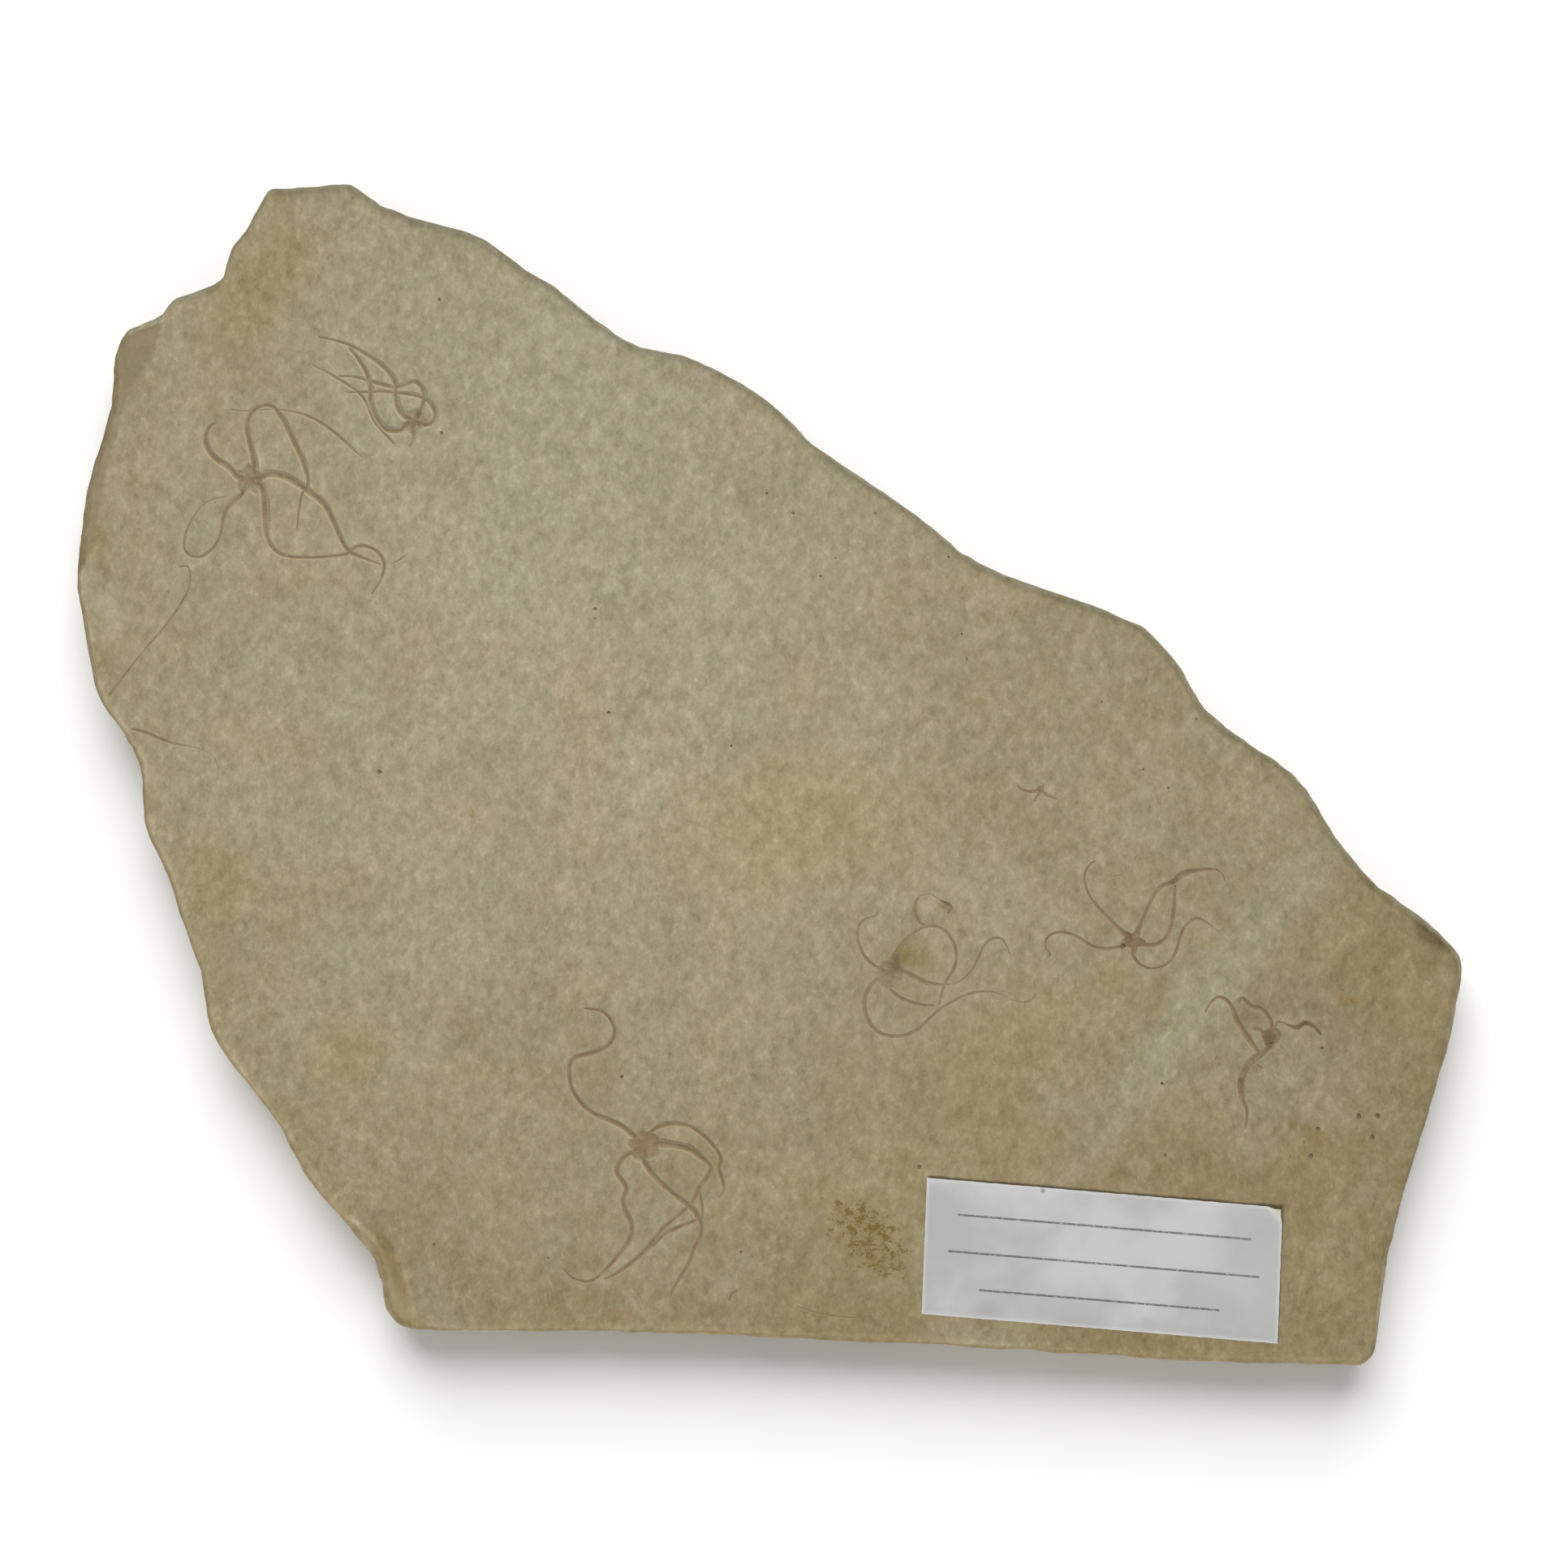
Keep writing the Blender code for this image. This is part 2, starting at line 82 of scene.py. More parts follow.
# Waves laid over the solid's surfaces: (wavelength, height, seed)
FACE_WAVES = [(46.0, 0.20, 1), (15.0, 0.10, 2), (5.5, 0.055, 3), (2.4, 0.045, 4)]
SCAR_WAVES = [(9.0, 0.30, 31), (3.4, 0.16, 32), (1.6, 0.09, 33)]
UNDER_WAVES = [(40.0, 0.28, 11), (12.0, 0.20, 12), (5.0, 0.12, 13)]
EDGE_WAVES = [(10.0, 0.30, 21), (3.6, 0.22, 22), (1.6, 0.12, 23)]
LAMINA = 1.15  # thickness of the thin beds that show in the broken edge
LAMINA_SWING = 0.42  # how far a thin bed stands in or out
RIM_DROP = (0.25, 0.6)  # least and greatest wear of the upper rim
SHOULDER = 0.55  # how far inside the rim the face is whole again
UNDER_LIFT = 0.3  # mean height of the hollows in the underside

# ------------------------------------------------------------------ the fossils, routed as in the solids
# Each arm is the widths along it, evenly spaced, and its route. A star's "rise" is the share of an arm's
# width by which it stands up, its "foot" the width of an arm's foot as a share of its own, its "bulge" how
# far the disc swells between the arms, and its "lobes" how brown the disc is there.
STARS = {
    "brittle_star_upper_left": {
        "disc": (-97.2, 55.0), "disc_radius": 3.0, "tone": "brown", "lobes": 0.52, "bulge": -0.12,
        "rise": 0.27, "foot": 1.7,
        "arms": [
            ((1.15, 1.1, 1, 0.45),
             [(-99.4, 55.6), (-101.4, 57.6), (-103.7, 59.1), (-105.1, 60.9), (-105.5, 62.7),
              (-105.2, 64.2), (-104.3, 65.3), (-103.2, 65.8)]),
            ((1.15, 0.95, 0.65, 0.9, 1, 0.6, 0.4),
             [(-96.4, 57.7), (-97.8, 65.3), (-97, 67.3), (-95.5, 68.6), (-93.4, 68.9), (-91.9, 67.6),
              (-86.8, 57), (-86.4, 54.2), (-87.6, 52), (-88.5, 45.3)]),
            ((1.2, 1.15, 1.05, 1, 0.7, 0.4),
             [(-95.6, 55.3), (-93.4, 56.1), (-90.8, 55.7), (-85.5, 52.3), (-83.2, 50.3), (-78.8, 41.8),
              (-76.5, 40.6), (-72.6, 39.2)]),
            ((1.15, 1.15, 0.75, 0.6, 0.6, 0.75, 0.6, 0.4),
             [(-95.2, 53.9), (-94.6, 52), (-94.3, 46.2), (-93.7, 43.5), (-91.7, 41.3), (-89, 40.6),
              (-78.8, 41.3), (-77.9, 42.2), (-76.1, 42.7), (-73.8, 41.9), (-72.6, 40.6), (-72.1, 39.1),
              (-72.6, 36.8), (-74.6, 33.4)]),
            ((0.9, 0.8, 0.65, 0.55, 0.5, 0.4, 0.35),
             [(-98.8, 52.3), (-101.7, 49.4), (-102.8, 44.8), (-103.8, 42.7), (-105.7, 41),
              (-107.6, 40.6), (-109.3, 41.8), (-109.5, 43.6), (-108.8, 46.2), (-106, 50.3),
              (-103.7, 51.5), (-101.4, 52)]),
        ],
        "branches": [
            ((0.35, 0.55, 0.6, 0.45, 0.35, 0.35),
             [(-76.1, 59.1), (-81.4, 63.9), (-84.6, 66.1), (-87.6, 67.4), (-92.3, 68.2), (-98.4, 67.9),
              (-101, 68.2)]),
        ],
    },
    "brittle_star_curled": {
        "disc": (-66.5, 65.9), "disc_radius": 2.7, "tone": "brown", "lobes": 0.52, "bulge": -0.1,
        "rise": 0.30, "foot": 1.9,
        "arms": [
            ((0.9, 0.85, 0.8, 0.7, 0.6, 0.4),
             [(-68, 66.7), (-69.3, 68), (-70, 70.6), (-70, 72.9), (-71.4, 75.3), (-73.3, 77),
              (-78.8, 80.3), (-84.6, 81.8)]),
            ((0.8, 0.9, 0.9, 0.8, 0.6),
             [(-68, 65.3), (-69.4, 64.2), (-72.1, 64.7), (-74.6, 69.4), (-74.7, 72), (-75.5, 75.2),
              (-77, 77.7), (-78.8, 79.9)]),
            ((0.8, 0.8, 0.75, 0.6, 0.45),
             [(-65.5, 67.6), (-64.7, 69.9), (-65, 72), (-66.2, 73.3), (-69.9, 72.4), (-77.9, 74.3),
              (-80.9, 74.4)]),
            ((0.8, 0.85, 0.75, 0.6, 0.55, 0.4),
             [(-64.5, 65.3), (-63.2, 65.8), (-62.6, 67.6), (-63.6, 69.4), (-65.5, 70.6), (-70.8, 71.4),
              (-79.7, 71.4)]),
            ((0.8, 0.5), [(-66.7, 62.7), (-67.6, 60.9)]),
        ],
        "branches": [
            ((0.5, 0.6, 0.55, 0.5, 0.35),
             [(-70, 61.5), (-73.8, 65.8), (-76.1, 70.5), (-80.5, 73.8), (-85.9, 76.7)]),
        ],
    },
    "brittle_star_lower": {
        "disc": (-23.5, -69.4), "disc_radius": 3.3, "tone": "warm", "lobes": 0.6, "bulge": 0.05,
        "rise": 0.22, "foot": 1.5,
        "arms": [
            ((1.1, 0.95, 0.85, 0.9, 0.85, 0.5),
             [(-26.3, -66.8), (-28.4, -65.3), (-33.6, -63), (-36.9, -59.1), (-37.5, -56.4),
              (-37.5, -54.4), (-36.5, -53), (-31.6, -51.5), (-29.8, -50.1), (-29.1, -48.2),
              (-29.8, -45.9), (-31.3, -44.4), (-35.1, -43.6)]),
            ((0.95, 0.9, 0.75, 0.85, 0.85, 0.4),
             [(-22.7, -67.3), (-20.9, -65.9), (-18.7, -65.3), (-16, -65.5), (-13.3, -66.8),
              (-9.3, -71.5), (-9.6, -73.8), (-8.9, -75.9), (-8.7, -77.7), (-9.8, -79.3)]),
            ((1.5, 1.2, 0.9, 0.8, 0.6, 1.1, 0.8, 0.45),
             [(-20.3, -69.1), (-15.1, -70), (-13, -71.5), (-11.1, -73.5), (-11.6, -75), (-13.3, -77.3),
              (-14.6, -80), (-20.4, -85.3), (-23.1, -88.8), (-28.9, -93.4), (-31.2, -94.4)]),
            ((1.3, 1.1, 0.9, 1.1, 0.8, 0.8, 0.65, 0.35),
             [(-23.6, -72), (-22.2, -74.4), (-20.4, -76.4), (-14.2, -81.7), (-13, -84), (-13, -86.2),
              (-14.2, -88.4), (-15.1, -91.1), (-18, -96), (-18.9, -98.2)]),
            ((0.9, 1.1, 0.85, 1, 1, 0.85, 0.65, 0.55, 0.35),
             [(-26.9, -71.2), (-28.3, -72.9), (-28.6, -74.4), (-26.9, -77.3), (-27.5, -79.6),
              (-27.1, -81.7), (-26, -84), (-26.3, -86.7), (-29.4, -91.1), (-33.3, -94.6),
              (-35.6, -94.6), (-37.4, -93.8), (-38.8, -92.2)]),
        ],
        "branches": [
            ((0.5, 0.7, 0.5), [(-13.3, -77.6), (-12.7, -80.9), (-12.7, -83.5)]),
            ((0.6, 0.8, 0.6), [(-13.4, -83.1), (-19.6, -85.9), (-22.2, -88.4)]),
        ],
    },
    "brittle_star_ring": {
        "disc": (22.2, -37.3), "disc_radius": 2.9, "tone": "pale", "lobes": 0.6, "bulge": 0.0,
        "rise": 0.16, "foot": 1.35,
        "arms": [
            ((0.85, 0.8, 0.7, 0.65, 0.45),
             [(19.8, -36), (18.1, -34.5), (16.9, -32.5), (16.3, -30.1), (16.6, -28.3), (17.7, -27.1),
              (19.5, -26.5), (20.7, -25)]),
            ((0.9, 0.95, 0.85, 0.75, 0.65, 0.6, 0.35, 0.5),
             [(20.1, -38.3), (18.6, -39.8), (17.7, -41.8), (17.7, -44.1), (18.6, -46.5), (20.3, -48.2),
              (22.5, -48.9), (25, -48.8), (27.2, -47.9), (31.9, -43.8), (36.5, -41.3), (39.2, -40.6),
              (41.9, -40.7), (45.4, -42.2), (47.7, -42.6), (49.2, -41.8), (49.7, -40.6)]),
            ((0.9, 0.85, 0.7),
             [(22.5, -40.1), (24.2, -41.6), (26.5, -42.6), (28.7, -43.2), (31, -43.2)]),
            ((1, 1.1, 0.9, 0.4, 0.6, 0.65, 0.65, 0.55, 0.35),
             [(24.5, -36.8), (28.7, -38.8), (31, -39.2), (33.8, -39.2), (35.7, -38.5), (37.7, -36.6),
              (40.1, -31.9), (41.5, -30.7), (43.2, -30.7), (44.2, -32.1), (45, -34.1)]),
            ((1.9, 1.2, 0.5, 0.6, 0.85, 0.9, 0.85, 0.55, 0.45),
             [(23.4, -36.0), (23.4, -34.3), (25.3, -31), (27.7, -29.1), (29.5, -28.4), (31.5, -28.6),
              (33.4, -30.1), (34.5, -32.1), (34.8, -34.5), (34.1, -36.8), (32.8, -38.8), (31.5, -43.3)]),
        ],
        "branches": [
            ((0.5, 0.95, 0.85, 0.5, 0.35, 0.35, 0.85, 0.7),
             [(29.5, -28.4), (28, -27.7), (27.1, -26.2), (27.2, -24), (28, -22.8), (30, -22.4),
              (31.5, -23.3), (33.8, -24.8), (33, -26.2)]),
        ],
    },
    "brittle_star_right": {
        "disc": (67.8, -31.0), "disc_radius": 2.2, "tone": "umber", "lobes": 0.7, "bulge": -0.26,
        "rise": 0.15, "foot": 1.25,
        "arms": [
            ((1.15, 0.85, 0.7, 0.6, 0.45),
             [(65.8, -29.4), (60.1, -23.3), (59.1, -21.2), (58.8, -18.7), (59.7, -16.9), (61.2, -15.9)]),
            ((0.75, 0.7, 0.75, 0.7, 0.65, 0.6, 0.3),
             [(65.6, -32.1), (61.2, -32.4), (57.3, -30.3), (55, -29.5), (53, -29.7), (51.7, -30.7),
              (51.5, -32.5), (52.3, -33.6), (51.2, -34.8)]),
            ((1.2, 0.85, 0.8, 0.8, 1.5, 0.95, 0.7, 0.4),
             [(68.5, -29.7), (72, -22.1), (73.5, -20.7), (75.3, -20.1), (77, -18.7), (81.7, -17.7),
              (83.7, -18), (84.7, -19), (85, -20.1)]),
            ((1.1, 0.95, 0.95, 0.5),
             [(70.2, -31.8), (72, -31.8), (74, -30.4), (74.9, -28.4), (75.8, -20.3)]),
            ((0.8, 0.7, 0.6, 0.75, 0.6, 0.5, 0.3),
             [(67.7, -33.4), (68.9, -35.3), (70.9, -36.2), (73.2, -35.9), (74.9, -34.7), (76.1, -32.4),
              (76.7, -30), (77.9, -28), (79.7, -26.9), (81.7, -27.7), (84.6, -30.3)]),
        ],
        "branches": [],
    },
    "brittle_star_far_right": {
        "disc": (93.6, -49.0), "disc_radius": 2.1, "tone": "umber", "lobes": 0.7, "bulge": -0.05,
        "rise": 0.18, "foot": 1.3,
        "arms": [
            ((0.9, 0.95, 1.0, 0.9),
             [(93.7, -46.6), (93.1, -45.1), (91.7, -43.8), (89.9, -43.3), (88.2, -41.9), (87.2, -43.2)]),
            ((0.5, 0.5, 1.1, 1.05, 0.6),
             [(94.9, -46.2), (98.4, -47.3), (99.9, -46.5), (101.4, -47), (103.2, -48.9)]),
            ((1.4, 1.5, 1.6, 1.35, 0.8, 0.5),
             [(93.4, -50.9), (89.9, -53.8), (88.5, -55.9), (87.9, -58.2), (88.2, -60.6), (89.1, -62.9),
              (88.8, -66.4)]),
            ((0.9, 1), [(92.9, -48.9), (91.7, -47.9), (89.9, -47.4)]),
        ],
        "branches": [
            ((1.0, 1.15, 1.25, 1.0, 0.6, 0.45),
             [(91.7, -52.6), (87.2, -45.9), (86.5, -43.9), (85.3, -42.2), (83.8, -41.6), (82.3, -42.7),
              (81.2, -44.7)]),
        ],
    },
}
JUVENILE = {
    "disc": (50.6, -2.8), "disc_radius": 0.75, "tone": "warm", "lobes": 0.9, "bulge": 0.0,
    "rise": 0.15, "foot": 1.25,
    "arms": [
        ((0.75, 0.65, 0.5), [(50, -2.95), (48.8, -3.2), (47.1, -2.8), (46, -1.9)]),
        ((0.75, 0.6, 0.35), [(51, -3.3), (52, -4), (53.9, -4.6)]),
        ((0.6, 0.35), [(50.9, -2.4), (51.3, -1.4)]),
        ((0.6, 0.35), [(50.3, -3.5), (50.1, -3.8), (49.2, -5.2)]),
    ],
    "branches": [],
}
LOOSE_ARMS = {
    "arm_fragment_left_edge": (
        (0.45, 0.55, 0.6, 0.5, 0.45, 0.6, 0.8),
        [(-110.7, 38.8), (-108.8, 38.8), (-108.4, 36.8), (-108.8, 34.4), (-110.7, 31), (-113.1, 27.7),
         (-117.8, 22.2), (-123.9, 14.3)]),
    "arm_fragment_left_hook": (
        (0.65, 0.65, 0.6, 0.35, 0.3, 0.35, 0.25),
        [(-119.6, 8.6), (-117, 7.9), (-111.6, 5.8), (-108.2, 5.2), (-104.4, 3.6), (-103.1, 1),
         (-103.5, -1), (-104.7, -2.2)]),
}
LOOSE_RISE, LOOSE_FOOT = 0.2, 1.5
TRACE_RISE, TRACE_FOOT = 0.15, 1.25
ARM_BODY = 1.25  # the brown back of an arm fades into the stone over this width, as a share of its own
ARM_ROWS = 15  # points over an arm's back
ARM_WAVES = [(2.2, 0.14, 71)]
CLEAR_WIDTH = 0.7  # narrower stretches fade into the stone
STATION = 0.13
SPAN_POINTS = 24  # points computed between two given points of a curve
SEGMENT = 0.62  # length of an arm's segments near the disc
SEGMENT_BULGE = 0.08
SUNK = 0.35  # how far a fossil reaches down into the stone
HAIR = 0.02  # how far its edge lies below the stone's face
TIP = 0.06  # width of an arm's very end, as a share of its own
ARM_ROUNDING = 1.3
ARM_ROOT = 0.9  # width of an arm's buried underside, as a share of its foot
RAYS = 5
LOBE_OUT, LOBE_LENGTH, LOBE_WIDTH = 0.60, 0.36, 0.44  # where a disc's lobe lies and how far it reaches
LINE_WIDTH = 0.62  # half width of the ridge in which an arm runs on over the disc, beside the arm's own
DISC_BASE, DISC_SWELL = 0.55, 0.30  # height of the disc between its ridges and lobes, and what they add
DISC_EDGE = 0.3  # the outer share of the disc, which slopes down
DISC_ROUNDING = 0.7
DISC_RISE = 0.30
DISC_RADIUS = 3.3  # of the largest star, which the others' heights follow
DISC_RINGS = 26
DISC_SIDES = 120
DISC_BENDS = [(1.7, 0.16, 53)]
DISC_WAVES = [(1.1, 0.07, 51), (0.45, 0.03, 52)]
DISC_EDGE_WAVES = [(2.4, 0.30, 54), (0.9, 0.12, 55)]

# ------------------------------------------------------------------ the scars and the label
FACET_EDGE = [(-112.8, 87.5), (-115.1, 79.1), (-118.9, 73.8), (-121.1, 67.4), (-124.3, 55.3),
              (-125.8, 46.2), (-128.2, 38.6)]
CHIP_EDGE = [(-79.4, -83.0), (-73.8, -86.4), (-70.3, -89.9), (-67.4, -96.3), (-66.2, -105.5)]
LABEL_SIZE = (66.7, 25.4)
LABEL_CENTRE = (62.1, -90.8)
LABEL_TURN = -4.8  # degrees
LABEL_SKEW = 0.045  # how far the ends lean, because the label was cut a little out of square
LABEL_STEP = 0.6
LABEL_THICKNESS = 0.18
LABEL_SEAT = 0.13  # height of the sheet's underside above the face
LABEL_BUCKLE, LABEL_CURL, LABEL_LOOSE = 0.06, 0.12, 2.0  # waves of the sheet, lift and width of its rims
FOLD_START, FOLD_SPAN, FOLD_SHIFT = 3.4, 2.4, 0.35  # of the bent corner
RAGGED, RAGGED_LENGTH = 0.10, 1.5  # of the cut edges
# Plain ruled lines on the label: (from, to, height)
RULED_LINES = [(-27.5, 27.8, 6.3), (-29.0, 29.6, -0.6), (-23.0, 22.4, -7.4)]

# ------------------------------------------------------------------ the stone's colours
STONE_PALE = (166, 156, 126)
STONE_DEEP = (139, 125, 90)
PALE_CENTRE = (-37.0, 8.0)  # the stone is palest here and deeper in colour towards its edges
PALE_REACH = (150.0, 110.0, 260.0)  # sideways, downwards and upwards
TAN = (167, 149, 116)
SAGE = (158, 152, 124)
HALO = (170, 159, 134)  # beside a fossil, where the stone was cleaned
# Painted shade for the facet's slope at the upper left
FACET_PAINTED_SHADE = (140, 127, 97)
# Brown of the upper rim: a little is its own colour, the rest is painted shade where the edge faces the
# light
RIM = (116, 102, 72)
# Painted highlight on the rim where the edge turns away from the light
RIM_PAINTED_HIGHLIGHT = (205, 194, 162)
CHIP = (136, 121, 86)
SIDE_PALE = (172, 161, 132)
SIDE_DARK = (138, 125, 95)
SIDE_RUST = (150, 128, 84)
UNDERSIDE = (152, 145, 123)
OCHRE = (150, 129, 84)
OCHRE_DOT = (118, 97, 50)
LEFT_END = -98.0  # left of this the broken edge is darker, painted shade on the side that faces the light
LEFT_FADE, LEFT_SHARE = 12.0, 0.6  # over what distance, and by how much
RIM_SIDE = (0.5, 0.86)  # points into the stone where the broken edge faces the light
RIM_WEAR_AND_SHADE = (0.12, 0.63)  # least share of the brown rim, which it has all round, and the painted shade added where the edge faces the light
RIM_PAINTED_HIGHLIGHT_SHARE = 0.5  # share of the painted highlight on the rim where the edge turns away from the light
RIM_ROWS, RIM_FADE = 6, 4  # rows that the rim's colour reaches down, and over which it fades
TONE_WAVES = [(26.0, 0.26, 41), (9.0, 0.22, 42)]
TONE_SPAN = 1.25
HUE_WAVES = [(14.0, 0.6, 43), (6.0, 0.35, 44)]
HUE_SPAN, HUE_SHARE = 0.6, 0.4
BED_WAVES = [(1.5, 1.0, 61), (0.6, 0.5, 62)]
BED_RUN = 60  # how many times further a bed's colour runs sideways than up
BED_SWAY = 25  # the beds rise and fall over this distance
RUST_WAVES = [(9.0, 1.0, 63), (3.0, 0.5, 64)]
RUST_SHARE = 0.7
# Shares of the cleaned halo, of the facet's painted shade and of the chip's own colour
HALO_SHARE, FACET_PAINTED_SHADE_SHARE, CHIP_SHARE = 0.2, 0.85, 0.4
SCAR_BLUR = 0.8
SCAR_CLEAN, SCAR_CALM = 0.7, 0.6  # how much less ochre, and how much weaker flecks, a scar has
DRIFT_LENGTH = 5.0  # the edges of stains wander over this distance
STAIN_DRIFT = (0.3, 1.8)  # how far: as a share of the smaller radius, and at most
OCHRE_DRIFT = 2.2
SMALL_STAIN = 2.0  # a stain with a smaller radius gets the fine mesh
SPOT_REACH = 1.4  # how many radii out a dark spot ends

# Soft patches of colour: (centre, radii, turn in degrees, colour, strength, softness)
STAINS = [
    ((-79.0, -51.8), (7.5, 5.5), 30, (152, 133, 90), 0.6, 0.9),
    ((-102.9, -20.5), (6.5, 8.5), 20, (156, 137, 94), 0.6, 0.9),
    ((4.0, -9.0), (26.0, 15.0), 10, (163, 144, 104), 0.5, 0.9),
    ((64.0, -37.6), (3.6, 4.6), -35, (149, 132, 92), 0.55, 0.8),
    ((99.4, -71.5), (6.4, 11.0), -15, (140, 120, 80), 0.6, 0.8),
    ((123.4, -30.0), (4.6, 1.6), -40, (108, 94, 64), 0.9, 0.6),
    ((80.0, -44.0), (48.0, 5.6), 51, (164, 158, 135), 0.5, 0.9),
    ((-95.0, 91.0), (16.0, 6.5), 50, (152, 133, 92), 0.6, 0.9),
    ((-38.0, 72.0), (48.0, 36.0), -30, (164, 157, 132), 0.5, 0.9),
    # Pale fresh stone along the chip's edge, brightened with a painted highlight
    ((-77.3, -85.3), (1.3, 2.6), 42, (214, 209, 195), 0.8, 0.6),
    ((-74.9, -90.0), (0.9, 7.0), 21, (204, 196, 172), 0.85, 0.8),
    ((-71.0, -91.4), (1.7, 7.8), 22, (110, 93, 52), 0.9, 0.8),
    ((-27.8, -101.4), (3.2, 1.8), 0, (138, 118, 76), 0.6, 0.8),
    ((-66.5, -103.5), (3.0, 3.2), 0, (142, 123, 80), 0.6, 0.8),
    ((31.0, -75.0), (26.0, 9.0), 8, (158, 142, 104), 0.3, 0.9),
    ((45.0, -52.5), (9.0, 17.0), -32, (152, 135, 93), 0.5, 0.9),
    ((24.9, -33.9), (1.9, 3.9), -28, (124, 104, 60), 1.0, 0.8),
    ((27.4, -35.0), (3.5, 3.4), 0, (146, 130, 94), 0.7, 0.9),
    ((27.3, -26.2), (1.1, 2.2), 5, (134, 116, 90), 0.7, 0.8),
    ((32.6, -24.4), (1.4, 0.8), -5, (116, 98, 70), 0.8, 0.8),
    ((29.5, -24.6), (1.6, 1.5), 0, (174, 161, 138), 0.8, 0.7),
    ((89.6, -45.0), (3.0, 3.5), 38, (130, 110, 80), 1.0, 0.5),
    ((90.3, -54.4), (2.2, 1.2), 40, (138, 119, 90), 0.8, 0.8),
    ((-125.6, 43.5), (2.4, 6.0), 12, (146, 126, 86), 0.6, 0.8),
    ((-123.6, 30.5), (3.2, 5.0), 15, (172, 164, 142), 0.4, 0.9),
    ((97.0, -53.0), (15.0, 16.0), 0, (149, 138, 114), 0.6, 0.9),
    ((108.6, -42.3), (2.8, 1.3), -12, (132, 114, 68), 0.7, 0.8),
    ((97.6, -65.4), (1.0, 0.9), 0, (124, 106, 58), 0.8, 0.7),
    ((101.5, -67.0), (2.6, 1.4), -30, (134, 114, 70), 0.6, 0.8),
    ((-18.6, -82.0), (1.6, 2.8), -35, (142, 126, 98), 0.55, 0.8),
]
# Ragged ochre stain: (centre, radii, turn, strength, softness)
OCHRE_STAINS = [
    ((18.2, -86.2), (6.4, 11.5), 38, 1.0, 0.7),
    ((99.6, -69.6), (4.0, 6.4), -20, 0.5, 0.8),
    ((109.3, -42.4), (3.2, 2.0), 0, 0.5, 0.6),
]
# Small dark grains: (x, y, radius, how far lifted)
GRAIN_SECTION = [(0.8, -0.6), (1.0, 0.0), (0.7, 0.16), (0.35, 0.2)]  # out and up, as shares of the radius
GRAIN_SIDES = 14
GRAIN_WAVES = [(0.8, 0.5, 81)]
GRAINS = [
    (-72.9, 0.5, 0.42, 0.0), (4.3, 48.9, 0.28, 0.0), (-32.7, 31.0, 0.3, 0.0), (-32.7, 29.2, 0.24, 0.0),
    (-30.1, 11.6, 0.34, 0.0), (102.4, -66.2, 0.45, 0.0), (73.3, -57.7, 0.34, 0.0), (73.9, -71.1, 0.3, 0.0),
    (-61.8, 88.8, 0.3, 0.0), (36.8, 21.6, 0.26, 0.0), (-7.2, 5.4, 0.24, 0.0), (-61.4, 63.9, 0.3, 0.0),
    (65.9, -32.1, 0.52, 0.14), (103.1, -51.1, 0.3, 0.0), (-27.7, -56.5, 0.3, 0.0), (-5.4, -89.2, 0.28, 0.0),
    (110.1, -63.8, 0.5, 0.0), (113.5, -63.8, 0.45, 0.0), (112.6, -67.8, 0.42, 0.0),
    (101.1, -71.3, 0.42, 0.0),
    (27.9, -73.3, 0.38, 0.0), (-0.6, 52.6, 0.26, 0.0), (33.4, 40.7, 0.26, 0.0), (12.3, 40.5, 0.2, 0.0),
    (9.5, 37.1, 0.22, 0.0), (19.7, 48.9, 0.2, 0.0), (-62.8, -87.8, 0.3, 0.0), (35.9, 26.3, 0.2, 0.0),
    (69.8, 1.0, 0.24, 0.0), (62.1, 13.6, 0.2, 0.0), (79.7, 10.4, 0.22, 0.0), (74.5, -2.5, 0.22, 0.0),
]
# Faint traces of arms and cracks: widths and route, as for an arm
TRACES = [
    ((0.45, 0.55, 0.4), [(-73.6, -86.0), (-72.4, -88.2), (-70.8, -89.6)]),
    ((0.4, 0.5, 0.35), [(-68.0, -94.9), (-68.5, -96.8), (-68.3, -98.6)]),
    ((0.25, 0.4, 0.3), [(53.5, -36.2), (53.9, -38.0), (53.6, -40.1)]),
    ((0.25, 0.38, 0.3), [(58.0, -37.3), (57.0, -38.8), (57.6, -40.4)]),
    ((0.35, 0.5, 0.35), [(4.8, -99.4), (10.0, -100.9), (16.9, -101.7)]),
    ((0.5, 0.7), [(-42.1, -90.2), (-40.9, -90.5)]),
    ((0.6, 0.75, 0.5), [(-7.8, -98.7), (-7.2, -97.2), (-5.8, -96.3)]),
    ((0.35, 0.5, 0.35), [(-71.0, 39.2), (-69.0, 40.3), (-67.4, 41.6)]),
    ((0.5, 0.6), [(83.0, -53.5), (83.8, -52.3)]),
    ((0.45, 0.65, 0.4), [(90.7, -54.0), (91.5, -54.6), (92.3, -55.0)]),
    ((0.35, 0.5, 0.35), [(63.4, -19.1), (64.8, -18.9), (66.3, -18.8)]),
]
# Flecks: the noise from which they show to where they are whole, and how light they then are
PALE_FLECKS = (0.54, 0.72, 0.0, 0.15)
DARK_FLECKS = (0.42, 0.25, 0.0, -0.11)
TINTS = (0.10, 0.065, 0.15)  # how far each channel of the stone's colour strays
GREYING = (0.95, 1.0, 1.32)  # pale flecks of the stone are greyer, dark ones browner
FOOT_LIGHT = 1.03  # the stone that clings to a fossil's foot, beside the stone around it
FOSSIL_TONES = {  # back and grooves
    "brown": ((131, 114, 84), (113, 95, 66)),
    "warm": ((130, 110, 77), (110, 91, 59)),
    "pale": ((133, 117, 87), (115, 98, 69)),
    "umber": ((128, 109, 79), (107, 89, 61)),
}
FOSSIL_DARK = (98, 82, 50)
GRAIN_DARK = (84, 73, 52)
GRAIN_PALE = (124, 110, 82)
